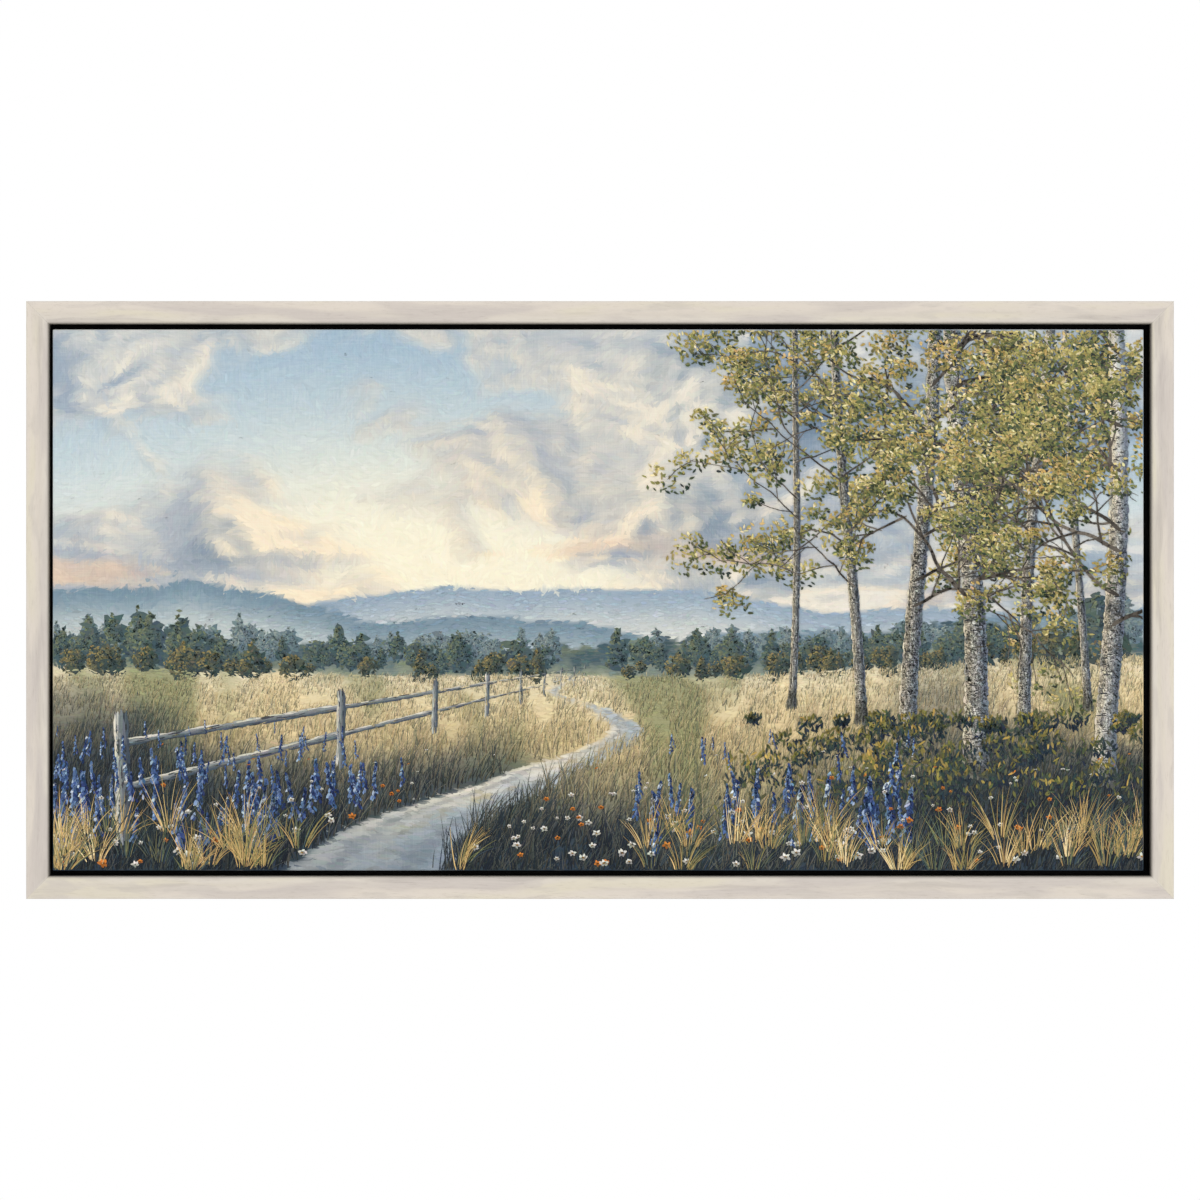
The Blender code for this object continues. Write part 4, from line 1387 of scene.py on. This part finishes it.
def flowers():
    """Blue spikes, then round white and orange heads with their centres."""
    made, spots = [], []
    for _ in range(SPIKES):
        t = uniform(0, 1) ** 0.7
        left = uniform() < 0.78
        x = uniform(-RIGHT, -0.26 + 0.10 * t) if left else uniform(0.04, 0.36)
        spots.append((-0.150 - 0.145 * t, x, t))
    blues = {0: (28, 44, 86), 0.4: (62, 88, 138), 0.75: (124, 152, 190), 1: (206, 218, 228)}
    for z, x, t in sorted(spots, reverse=True):
        if on_path(x, np.array([z]), 1.15)[0]:
            continue
        tall = (0.012 + 0.042 * t) * uniform(0.7, 1.25)
        count = int(14 + 22 * t)
        u, side = np.linspace(0, 1, count), uniform(-1, 1, count)
        petal_x = x + normal(0, 0.10) * tall * u + side * tall * 0.11 * (1.05 - u)
        lit = np.clip(0.42 - 0.35 * side + normal(0, 0.2, count), 0, 1)
        long, wide = tall * uniform(0.09, 0.15, count), tall * uniform(0.05, 0.08, count)
        colour, turn = varied(scale_of(lit, blues), 0.05, 0.012), QUARTER + side * 0.7
        made.append(strokes(petal_x, z + tall * (0.25 + u), turn, long, wide, colour))
    for _ in range(ROUND_HEADS):
        t = uniform(0, 1) ** 0.6
        x, z = uniform(-RIGHT, RIGHT), -0.155 - 0.14 * t
        if on_path(x, np.array([z]), 1.05)[0]:
            continue
        r = (0.0010 + 0.0024 * t) * uniform(0.6, 1.25)
        petal, centre = (226, 136, 56), (120, 70, 40)
        if uniform() < 0.68:
            petal, centre = (238, 236, 226), (206, 150, 50)
        count = 5 if t > 0.3 else 2
        a = np.linspace(0, 2 * np.pi, count, endpoint=False) + uniform(0, 1)
        colour = varied(rgb(petal) * (0.82 + 0.18 * np.sin(a)[:, None]), 0.04, 0.01)
        petal_x = x + r * 0.7 * np.cos(a) * uniform(0.7, 1.3, count)
        turn = a + normal(0, 0.4, count)
        made.append(strokes(petal_x, z + r * 0.45 * np.sin(a), turn, r * 1.3, r * 0.8, colour))
        if t > 0.35:
            made.append(strokes([x], [z], 0, r * 0.7, r * 0.5, centre))
    return made


STRAW = [
    (40, 56, 72), (62, 78, 86), (104, 112, 84), (138, 130, 84), (170, 142, 92), (204, 170, 110),
    (226, 196, 136), (240, 218, 168),
]


TUSSOCKS, BLADES = 120, 17


def near_tussocks():
    """Long grasses along the bottom, in tussocks that fan out, thickest in the corners."""
    each, shape = (TUSSOCKS, 1), (TUSSOCKS, BLADES)
    left = uniform(0, 1, each) < 0.5
    from_left = -RIGHT + 0.46 * uniform(0, 1, each) ** 1.4
    from_right = RIGHT - 0.56 * uniform(0, 1, each) ** 1.2
    middle, level = np.where(left, from_left, from_right), -TOP + uniform(-0.004, 0.046, each)
    middle, level = kept(np.argsort(-level[:, 0]), middle, level)
    fan = uniform(-1, 1, shape)
    x, z = middle + 0.010 * fan, level + normal(0, 0.002, shape)
    long = uniform(0.035, 0.062, each) * uniform(0.55, 1.2, shape) * (1 - 0.25 * fan**2)
    pick = uniform(0, 1, each) * 0.75 + uniform(0, 0.45, shape) - 0.1 - 0.12 * fan
    colour = varied(scale_of(np.clip(pick, 0, 1).ravel(), STRAW), 0.05, 0.010)
    turn = QUARTER - 0.42 * fan + normal(0, 0.07, shape) + normal(-0.05, 0.10, each)
    bend = -0.16 * fan + normal(-0.03, 0.05, shape)
    x, z, turn, long, bend = (values.ravel() for values in (x, z, turn, long, bend))
    made = strokes(x, z, turn, long, uniform(0.0007, 0.0015, x.size), colour, bend, BLADE)
    outside = ~on_path(x, z, 1.1)
    return {word: values[outside] for word, values in made.items()}


# ---------------------------------------------------------------- the landscape: paint on canvas


def brush_strokes(
    shape, stations, rows, relief, edge_sink, half_width, half_height, middle, ground, finish,
):
    """Lays a stroke at each point: a strip bent and tapered along its length, cut at the edge."""
    strip = out(shape.tree, "GeometryNodeMeshGrid", 1.0, 1.0, stations, rows)
    along, across, _ = here(strip)
    strip = stored(strip, along=along + 0.5, across=across * 2.0)
    paint = at_points(shape, strip).into("RealizeInstances")
    along, across, number, blade = named(paint, "along across number kind")
    x, z, lift, turn, bend, long, wide = named(paint, "x z lift turn bend long wide")
    end = (along * 2.0 - 1.0).size()
    dab_width = (1.0 - end ** 2.6).most(0.0).root() * 0.62 + 0.38
    blade_width = (1.0 - along) ** 0.7 * (along * 3.0 + 0.55).least(1.0) * 0.94 + 0.06
    width = dab_width + (blade_width - dab_width) * blade
    start = along - (0.5 - blade * 0.5)
    dab_bend, blade_bend = (start * start * 4.0 - 1.0) * 0.5, along * along * 2.0
    aside = (dab_bend + (blade_bend - dab_bend) * blade) * bend * long
    ragged = (number * 12.9 + across * 4.1).sine() * end ** 4.0
    forward = start * long + ragged * wide * 0.35
    aside = aside + across * width * wide * 0.5
    x = x + forward * turn.cosine() - aside * turn.sine()
    z = z + forward * turn.sine() + aside * turn.cosine()
    proud = lift + (1.0 - across * across) * width * relief
    y = ground - proud + across * across * edge_sink
    paint = paint.into("SetPosition", Position=join(x, y, z))
    outside = (x.size() > half_width).most(z.size() > half_height)
    paint = paint.into("DeleteGeometry", Selection=outside, domain="FACE")
    x = x.least(half_width).most(half_width * -1.0) + middle
    z = z.least(half_height).most(half_height * -1.0)
    paint = paint.into("SetPosition", Position=join(x, y, z))
    return paint.into("SetMaterial", Material=finish)


def ripple(x, z):
    """How far the stretched cloth leans back or forward at a place, counted from its middle."""
    from_side, from_end = TOP - np.abs(z), RIGHT - np.abs(x)
    inside = rise(0.0, 0.02, np.minimum(from_end, from_side))
    corner = np.exp(-np.hypot(from_end, from_side) / 0.08)
    pulls = 0.10 * MM * np.sin((np.abs(x) - np.abs(z)) * 260) * corner * inside
    inside = rise(0.0, 0.05, np.minimum(from_end, from_side))
    return 0.22 * MM * billows(x * 6, z * 6, 81, 3) * inside + pulls


def opaque(colour):
    """RGBA values for write, in linear light, from 0 to 1 colours."""
    return np.concatenate([linear(colour), np.ones((len(colour), 1))], 1)


def paint_layer(
    name, laid, low, high, stations, rows=2, blend=0.0, relief=0.0, sink=0.0, root=0.0,
    finish=FULL_PAINT,
):
    """One layer of strokes from low to high millimetres above the cloth, each over the one before
    it. Blend takes in the ground colours below, and root darkens the foot of each blade."""
    count = len(laid["x"])
    carried = {word: values for word, values in laid.items() if word != "colour"}
    carried |= {"number": np.arange(count), "lift": np.linspace(low, high, count) * MM}
    mesh = grown(
        brush_strokes, cloud_of(np.zeros((count, 3)), **carried), stations=stations, rows=rows,
        relief=relief * MM, edge_sink=sink * MM, half_width=RIGHT - PAINT_EDGE,
        half_height=TOP - PAINT_EDGE, middle=MIDDLE, ground=FRONT + RECESS, finish=finish,
    )
    number = read(mesh, "number").round().astype(int)
    along, side = read(mesh, "along"), read(mesh, "across")
    places = points_of(mesh)
    x, z = places[:, 0] - MIDDLE, places[:, 2]
    colour = laid["colour"][number]
    if blend:
        colour = mix(colour, landscape(x, z), blend)
    colour = np.clip(colour * (1 - root * (1 - along) ** 2)[:, None], 0, 1)
    places[:, 1] += ripple(x, z)
    mesh.vertices.foreach_set("co", places.astype(np.float32).ravel())
    mesh.update()
    forget(mesh, [*carried, "along", "across"])
    write(mesh, "paint", opaque(colour))
    # The bristle marks differ from stroke to stroke, and each has its own cell of the baked map
    run = along * laid["long"][number] + number * 0.37 % 5
    write_map(mesh, "stroke", run, side * laid["wide"][number] * 0.5 + number * 0.11 % 3)
    columns = math.ceil(math.sqrt(count))
    u, v = 0.14 + 0.72 * along + number % columns, 0.5 + 0.36 * side + number // columns
    write_map(mesh, "OFBake", u / columns, v / columns)
    piece(name, mesh)


def paint_picture():
    """The landscape's layers, from the sky to the grasses in front."""
    raised, thin = {"relief": 0.012, "sink": 0.03}, {"finish": THIN_PAINT}
    low_relief = {"relief": 0.010, "sink": 0.025}
    broad = sky_strokes(5600, 0.030, 0.010, 0.012)
    paint_layer("paint_sky", broad, 0.05, 0.10, 6, 3, 0.5, **low_relief, **thin)
    middling = sky_strokes(8400, 0.017, 0.0052, 0.014)
    paint_layer("paint_clouds", middling, 0.12, 0.18, 6, 3, 0.45, **raised, **thin)
    fine = sky_strokes(9000, 0.0095, 0.0030, 0.018)
    paint_layer("paint_cloud_edges", fine, 0.20, 0.25, 5, 3, 0.35, relief=0.015, sink=0.03)
    far = gathered([hill_strokes(), *far_trees()])
    paint_layer("paint_hills", far, 0.27, 0.37, 4, **thin)
    paint_layer("paint_meadow", ground_dabs(), 0.39, 0.47, 5, 3, 0.4, **raised)
    rows = grass()
    paint_layer("paint_far_grass", gathered(rows[:FAR_ROWS]), 0.50, 0.66, 5, root=0.35)
    paint_layer("paint_near_grass", gathered(rows[FAR_ROWS:]), 0.67, 0.85, 8, root=0.45)
    paint_layer("paint_fence", fence(), 0.86, 0.91, 5, 3, relief=0.01)
    twigs, tips = branches()
    leaves = crowns(tips)
    half = len(leaves) // 2
    paint_layer("paint_back_leaves", gathered(leaves[:half]), 0.92, 1.00, 4)
    paint_layer("paint_birches", gathered([*trunks(), twigs]), 1.01, 1.11, 5, **thin)
    paint_layer("paint_front_leaves", gathered(leaves[half:]), 1.12, 1.21, 4)
    paint_layer("paint_undergrowth", undergrowth(), 1.22, 1.27, 4)
    paint_layer("paint_flowers", gathered([*flowers(), near_tussocks()]), 1.28, 1.40, 8)


# ---------------------------------------------------------------- canvas


def grid_lines(half, count):
    """Places from edge to edge, closer together at the edges."""
    ends = np.array([0.0, 0.8, 2.2, 4.5, 8.0]) * MM
    middle = np.linspace(-half + 13 * MM, half - 13 * MM, count)
    return np.concatenate([-half + ends, middle, (half - ends)[::-1]])


def grid(rows, columns):
    """The faces of a grid of points, and the points of its rim in order."""
    index = np.arange(rows * columns).reshape(rows, columns)
    corners = index[:-1, :-1], index[:-1, 1:], index[1:, 1:], index[1:, :-1]
    rim = index[0, :-1], index[:-1, -1], index[-1, :0:-1], index[:0:-1, 0]
    return np.stack(corners, -1).reshape(-1, 4), np.concatenate(rim)


def cloth_section():
    """How the cloth runs from its face round the bar onto its back: inset, depth, length so far."""
    bend = 1.0 * MM
    arc = [(1 - math.sin(turn), 1 - math.cos(turn)) for turn in np.radians((0, 30, 60, 90))]
    places = [(CLOTH_ROUND * a, RECESS + CLOTH_ROUND * b) for a, b in arc]
    places += [(0, RECESS + depth * MM) for depth in (5, 10, 15, 20, 25, 29)]
    places += [(bend * b, FLAP_BACK - bend * a) for a, b in arc]
    places += [(inset * MM, FLAP_BACK) for inset in (4, 8, 12, 16, 20, 24, 27, 30)]
    places.append((FLAP_WIDTH, FLAP_BACK))
    runs = np.cumsum([0, *map(math.dist, places, places[1:])])
    return np.column_stack([places, runs])


def round_corners(x, z, half_x, half_z, radius):
    """Moves points of a rectangle that are near its corners onto an arc."""
    from_x, from_z = half_x - np.abs(x), half_z - np.abs(z)
    near = (from_x < radius) & (from_z < radius)
    angle = QUARTER / 2 * (1 + (from_x - from_z) / radius)
    arc_x = np.sign(x) * (half_x - radius + radius * np.cos(angle))
    arc_z = np.sign(z) * (half_z - radius + radius * np.sin(angle))
    return np.where(near, arc_x, x), np.where(near, arc_z, z)


def make_canvas():
    """One sheet of cloth: a grid of points for the face, then rings round the bar to the back."""
    columns, rows = 190, 96
    face_x = grid_lines(RIGHT - CLOTH_ROUND, columns)
    face_z = grid_lines(TOP - CLOTH_ROUND, rows)
    end_x, end_z = face_x[-1], face_z[-1]
    x, z = (values.ravel() for values in np.meshgrid(face_x, face_z))
    faces, rim = grid(len(face_z), len(face_x))
    rim_x, rim_z = x[rim], z[rim]
    on_x = np.isclose(np.abs(rim_x), end_x) * np.sign(rim_x)
    on_z = np.isclose(np.abs(rim_z), end_z) * np.sign(rim_z)
    walk = np.cumsum(np.hypot(*(np.diff(v, append=v[:1]) for v in (rim_x, rim_z))))
    fray = 0.6 * MM * noise(walk / 0.010, walk * 0 + 2, 91)
    bulge = 0.56 * MM * np.abs(noise(walk / 0.024, walk * 0 + 5, 92))
    x, z = round_corners(x, z, end_x, end_z, CORNER_ROUND - CLOTH_ROUND)
    # Of each ring: x, y, z, x and z on the flat cloth, and how far past the front edge it lies
    rings = [(x, RECESS + ripple(x, z), z, x, z, 0 * x)]
    kinds, quads, before = [0] * len(faces), [faces], rim
    for inset, depth, run in cloth_section()[1:]:
        half_x, half_z = RIGHT - inset, TOP - inset
        slack = fray * (inset == FLAP_WIDTH)
        ring_x, ring_z = rim_x * (half_x - slack) / end_x, rim_z * (half_z - slack) / end_z
        radius = max(CORNER_ROUND - inset, 0.1 * MM)
        ring_x, ring_z = round_corners(ring_x, ring_z, half_x, half_z, radius)
        ring_y = depth - bulge * rise(16 * MM, 34 * MM, inset)
        flat_x, flat_z = rim_x + on_x * run, rim_z + on_z * run
        ring = sum(len(made[0]) for made in rings) + np.arange(len(rim))
        rings.append((ring_x, ring_y, ring_z, flat_x, flat_z, run + 0 * rim_x))
        quads.append(np.stack([before, ring, np.roll(ring, -1), np.roll(before, -1)], 1))
        kinds += [1] * len(rim)
        before = ring
    x, y, z, flat_x, flat_z, beyond = (np.concatenate(values) for values in zip(*rings))
    places = np.stack([x + MIDDLE, y + FRONT, z], 1)
    mesh = mesh_of(places, np.concatenate(quads), kinds=kinds)
    colour = landscape(np.clip(flat_x, -RIGHT, RIGHT), np.clip(flat_z, -TOP, TOP))
    write(mesh, "paint", opaque(colour))
    write(mesh, "beyond", beyond)
    write_map(mesh, "cloth", flat_x, flat_z)
    for finish in (PAINTED, PRIMED, RAW, RAW):
        mesh.materials.append(finish)
    holder = linked("cloth", mesh)
    solid = holder.modifiers.new("thickness", "SOLIDIFY")
    solid.thickness, solid.offset = CLOTH_THICKNESS, -1
    solid.material_offset = solid.material_offset_rim = 2
    solids = ["canvas_face", *("canvas_wrap_" + side for side in SIDES)]
    return piece("stretched_canvas", taken_from(holder), solids, sharp=50)


def corner_folds():
    """The surplus cloth at each back corner, folded over on the diagonal."""
    rows, columns = 15, 11
    t, s = np.linspace(0, 1, rows)[:, None], np.linspace(-1, 1, columns)
    inset = (16.6 + 16.8 * t) * MM
    lean = 0.7 * MM * (s * (5.0 + 3.4 * t) + 0.5 * np.sin(t * 5))
    ends = np.minimum(rise(0.0, 0.10, t), rise(1.0, 0.93, t) * 0.75 + 0.25)
    edge = np.sqrt(np.maximum(1 - (np.maximum(s - 0.72, 0) / 0.28) ** 2, 0.0))
    crease = rise(-1.0, -0.55, s) * (0.55 + 0.45 * rise(0.2, 0.8, s)) * edge
    heights = 1.15 * MM * ends * crease + 0.02 * MM, np.full((rows, columns), -0.25 * MM)
    top, rim = grid(rows, columns)
    under, after = rows * columns, np.roll(rim, -1)
    hem = np.stack([rim, rim + under, after + under, after], 1)
    faces = np.concatenate([top, top[:, ::-1] + under, hem])
    made = []
    for (level, up), (side, right) in product(
        (("upper", 1), ("lower", -1)), (("right", 1), ("left", -1))
    ):
        x, z = right * (RIGHT - inset - lean) + MIDDLE, up * (TOP - inset + lean)
        places = [np.stack([x, FRONT + FLAP_BACK + y, z], -1).reshape(-1, 3) for y in heights]
        mesh = face_outwards(mesh_of(np.concatenate(places), faces))
        x, _, z = points_of(mesh).T
        write_map(mesh, "cloth", x, z)
        write(mesh, "beyond", np.full(len(x), FOLD_BEYOND))
        write(mesh, "paint", np.tile(tone((228, 224, 214)), (len(x), 1)))
        mesh.materials.append(PRIMED)
        made.append(piece(f"canvas_fold_{level}_{side}", mesh))
    return made


# ---------------------------------------------------------------- staples, screws, threads


def on_side(turn, run, reach):
    """X and Z of a place at the back of the canvas: so far along one side, and from the middle."""
    place = Matrix.Rotation(turn, 4, "Y") @ Vector((run, 0, reach))
    return place.x + MIDDLE, place.z


def bent_wire(tree, places):
    """A curve through places in the X-Z plane, its corners rounded."""
    line = out(tree, "GeometryNodeMeshLine", Count=len(places))
    index, x, z = out(tree, "GeometryNodeInputIndex"), 0.0, 0.0
    for number, (place_x, place_z) in enumerate(places):
        mine = (index - float(number)).size() < 0.5
        x, z = mine * place_x + x, mine * place_z + z
    line = line.into("SetPosition", Position=join(x, 0.0, z)).into("MeshToCurve")
    return line.into("FilletCurve", Radius=0.8 * MM, Count=3, mode="POLY")


def together(*shapes):
    made = node(shapes[0].tree, "GeometryNodeJoinGeometry")
    for shape in shapes:
        feed(made.inputs[0], shape)
    return Wire(shapes[0].tree, made.outputs[0])


def staples(shape, crown, leg, wire, finish):
    """A wire staple at each point, its crown turned about Y and its legs going in along -Y."""
    half, foot = crown * 0.5, leg * -1.0
    places = [(half * -1.0, foot), (half * -1.0, 0.0), (half, 0.0), (half, foot)]
    ring = out(shape.tree, "GeometryNodeCurvePrimitiveCircle", Resolution=8, Radius=wire)
    staple = swept(bent_wire(shape.tree, places), ring)
    made = at_points(shape, staple, join(-QUARTER, *named(shape, "turn"), 0.0))
    return made.into("RealizeInstances").into("SetMaterial", Material=finish)


STAPLE_INSET, STAPLE_PITCH, CORNER_CLEAR = 26 * MM, 52 * MM, 62 * MM


def make_staples():
    """Staples along every turned edge, and one across each corner fold."""
    normal = np.random.default_rng(21).normal
    spots, turns, back = [], [], FRONT + FLAP_BACK
    for _, turn, half, reach in each_side(RIGHT, TOP):
        count = round((2 * half - 110 * MM) / STAPLE_PITCH)
        for run in np.linspace(-half + CORNER_CLEAR, half - CORNER_CLEAR, count):
            run, jog = run + normal(0, 3 * MM), normal(0, 1.0 * MM)
            x, z = on_side(turn, run, reach - STAPLE_INSET - jog)
            spots.append((x, back + 0.12 * MM, z))
            turns.append(turn + normal(0, 0.16))
    for right, up in product((-1, 1), repeat=2):
        x, z = right * (RIGHT - STAPLE_INSET) + MIDDLE, up * (TOP - STAPLE_INSET)
        spots.append((x, back + 0.9 * MM, z))
        turns.append(-QUARTER / 2 * right * up + normal(0, 0.1))
    sizes = {"crown": 10.5 * MM, "leg": 1.1 * MM, "wire": 0.42 * MM}
    mesh = grown(staples, cloud_of(spots, turn=turns), **sizes, finish=ZINC)
    piece("canvas_staples", mesh)


def cross_recess_screws(
    shape, top_radius, base_radius, head_height, shank_radius, length, recess, finish,
    recess_finish,
):
    """A cross-recess screw at each point, its axis along Y and its head on the +Y side."""

    def cone(corners, top, base, depth):
        sizes = {"Vertices": corners, "Radius Top": top, "Radius Bottom": base, "Depth": depth}
        return out(shape.tree, "GeometryNodeMeshCone", **sizes)

    def lowered(solid, depth, material, turn=0.0):
        place = {"Translation": join(0.0, 0.0, depth * -1.0), "Rotation": (0.0, 0.0, turn)}
        return solid.into("Transform", **place).into("SetMaterial", Material=material)

    bar = cone(4, recess * 2.5, recess * 0.875, recess * 1.4)
    bar = bar.into("Transform", Rotation=(0.0, 0.0, QUARTER / 2))
    bar = bar.into("Transform", Scale=(1.0, 0.24, 1.0))
    bars = [lowered(bar, recess, recess_finish, turn) for turn in (0.0, QUARTER)]
    head = lowered(cone(28, top_radius, base_radius, head_height), head_height, finish)
    cut = {"operation": "DIFFERENCE", "solver": "EXACT", "Self Intersection": True}
    head = head.into("MeshBoolean", together(*bars), **cut)
    shank = cone(12, shank_radius, shank_radius * 0.4, length)
    shank = lowered(shank, head_height + length + 0.02 * MM, finish)
    screws = at_points(shape, together(head, shank), (-QUARTER, 0.0, 0.0))
    screws = screws.into("RotateInstances", Rotation=join(0.0, 0.0, *named(shape, "turn")))
    return screws.into("RealizeInstances")


def make_screws():
    uniform = np.random.default_rng(33).uniform
    words = "top_radius base_radius head_height shank_radius length recess".split()
    for kind, *sizes in (
        ("frame_screw", 4.0, 1.8, 2.4, 1.75, 18.0, 1.3),
        ("hanger_screw", 1.9, 2.8, 1.2, 1.25, 8.0, 0.75),
    ):
        spots = spots_of(kind + "_")
        cloud = cloud_of(spots.values(), turn=uniform(0, QUARTER, len(spots)))
        sizes = {word: size * MM for word, size in zip(words, sizes)}
        # The recess gets a dark finish as painted shade
        finishes = {"finish": ZINC, "recess_finish": RECESS_SHADE}
        mesh = grown(cross_recess_screws, cloud, **sizes, **finishes)
        piece(kind + "s", mesh, list(spots), sharp=35)


def make_bumpers():
    """Felt discs with softened rims that keep the frame off the wall."""
    thick = 3
    rim = [(5.7, 0), (6, 0.3), (6, 2.2), (5.8, 2.7), (5.3, 2.97), (4, thick), (2, thick)]
    spots = spots_of("bumper_")
    mesh = copied(lathe(rim, 44), [(x, y - thick * MM, z) for x, y, z in spots.values()])
    mesh.materials.append(FELT)
    piece("felt_bumpers", mesh, list(spots), sharp=60)


def mitre_nails(shape, wing, strip, deep, finish):
    """A bent steel strip driven across the mitre at each point, turned about Y."""
    places = [(wing * -1.0, wing * 0.55), (0.0, 0.0), (wing, wing * 0.55)]
    edge = out(shape.tree, "GeometryNodeCurvePrimitiveQuadrilateral", Width=deep, Height=strip)
    nail = swept(bent_wire(shape.tree, places), edge)
    made = at_points(shape, nail, join(0.0, *named(shape, "turn"), 0.0))
    return made.into("RealizeInstances").into("SetMaterial", Material=finish)


def make_mitre_nails():
    spots, turns = [], []
    for right, up, inset in product((-1, 1), (-1, 1), (11 * MM, 33 * MM)):
        x, z = right * (HALF_WIDTH - inset), up * (HALF_HEIGHT - inset)
        spots.append((x, FRONT + FRAME_DEPTH - 0.1 * MM, z))
        turns.append(math.atan2(right, up))
    sizes = {"wing": 4.2 * MM, "strip": 0.5 * MM, "deep": 0.6 * MM}
    mesh = grown(mitre_nails, cloud_of(spots, turn=turns), **sizes, finish=ZINC)
    piece("mitre_nails", mesh, sharp=35)


def loose_threads(shape, thickness, finish):
    """A loose thread at each point: thin, curled, lying flat against the wall side."""
    line = out(shape.tree, "GeometryNodeCurvePrimitiveLine", Start=(0, 0, 0), End=(0, 0, 1))
    line = line.into("ResampleCurve", Count=7)
    line = stored(line, along=here(line)[2])
    ring = out(shape.tree, "GeometryNodeCurvePrimitiveCircle", Resolution=4, Radius=1.0)
    thread = swept(line, ring)
    off_x, off_y, _ = here(thread)
    thread = stored(thread, off_x=off_x, off_y=off_y)
    made = at_points(shape, thread).into("RealizeInstances")
    x, y, z, long, turn, curl = named(made, "x y z long turn curl")
    along, off_x, off_y = named(made, "along off_x off_y")
    turn = turn + curl * along * 0.5
    thick = thickness * (1.0 - along * 0.5)
    reach, side = along * long, off_x * thick
    x = x + reach * turn.sine() + side * turn.cosine()
    z = z + reach * turn.cosine() - side * turn.sine()
    y = y + off_y * thick + (along * 3.1).sine() * (0.3 * MM)
    made = made.into("SetPosition", Position=join(x, y, z))
    return made.into("SetMaterial", Material=finish)


def make_threads():
    """Threads pulled from the raw edge of the turned cloth."""
    rng = np.random.default_rng(44)
    places, turns = [], []
    for number, (_, turn, half, reach) in enumerate(each_side(RIGHT, TOP)):
        count = 34 if number % 2 else 70
        for run in rng.uniform(-half + 40 * MM, half - 40 * MM, count):
            places.append(on_side(turn, run, reach - FLAP_WIDTH + 0.6 * MM))
            turns.append(turn + math.pi + rng.normal(0, 0.5))
    count = len(places)
    x, z = np.transpose(places)
    values = {
        "x": x, "y": np.full(count, FRONT + FLAP_BACK - 0.35 * MM), "z": z, "turn": turns,
        "curl": rng.normal(0, 1.6, count), "long": rng.uniform(1.2, 4.2, count) * MM,
    }
    cloud = cloud_of(np.zeros((count, 3)), **values)
    mesh = face_outwards(grown(loose_threads, cloud, thickness=0.16 * MM, finish=THREAD))
    forget(mesh, [*values, "along", "off_x", "off_y"])
    return piece("loose_threads", mesh)


# ---------------------------------------------------------------- CAD pieces that stay


def refinish_all():
    for name, item in frame["nodes"].items():
        slot = "stretcher_pine"
        if name.startswith("stretcher_bar"):
            finish = PINE_LEVEL if name.endswith(("top", "bottom")) else PINE_UPRIGHT
        elif name.startswith("cross_brace"):
            finish = BRACE_PINE
        elif name.startswith("stretcher_key"):
            finish = KEY_WOOD
        elif name in ("hanger_left", "hanger_right"):
            finish, slot = ZINC, "steel"
        else:
            continue
        for place in item.material_slots:
            place.material = finish


# ---------------------------------------------------------------- stage

LAMP_WIDTH = 2.4
# The share of the view's width that the frame takes up
VIEW_SHARE = 1148 / 1200


def make_stage():
    near, far, level = 11.5, 32.0, -3.0
    corners = [(-near, -far, level), (far, -far, level), (far, near, level), (-near, near, level)]
    floor = linked("floor", mesh_of(corners, [(0, 1, 2, 3)]))
    floor.data.materials.append(pale_floor())
    world = bpy.data.worlds.new("studio")
    bpy.context.scene.world = world
    world.use_nodes = True
    tree = world.node_tree
    tree.nodes.clear()
    seen = out(tree, "ShaderNodeLightPath", output="Is Camera Ray")
    # Full white behind the picture, and less than that as light on it
    white = {"Color": (1, 1, 1, 1), "Strength": seen * 0.16 + 0.84}
    node(tree, "ShaderNodeOutputWorld", out(tree, "ShaderNodeBackground", **white))
    for name, power, *place in (
        ("key", 32, -2.6, -3.4, 2.2), ("fill", 28, 2.4, -3.6, -0.9), ("back", 44, 0.6, 3.6, 2.2),
    ):
        lamp = bpy.data.lights.new(name, "AREA")
        lamp.shape, lamp.size, lamp.energy = "SQUARE", LAMP_WIDTH, power
        item = linked(name, lamp)
        item.location = place
        item.rotation_euler = (-Vector(place)).to_track_quat("-Z", "Y").to_euler()


def make_camera():
    camera = linked("camera", bpy.data.cameras.new("camera"))
    camera.data.lens, camera.data.sensor_width = 135, 36
    distance = HALF_WIDTH / VIEW_SHARE * camera.data.lens / (camera.data.sensor_width / 2)
    camera.location = (0, FRONT - distance, 0)
    camera.rotation_euler = (QUARTER, 0, 0)
    bpy.context.scene.camera = camera
    bpy.context.scene.view_settings.view_transform = "Standard"


make_camera()
make_moulding()
canvas = make_canvas()
folds = corner_folds()
paint_picture()
make_staples()
make_screws()
make_bumpers()
make_mitre_nails()
threads = make_threads()
refinish_all()
make_stage()
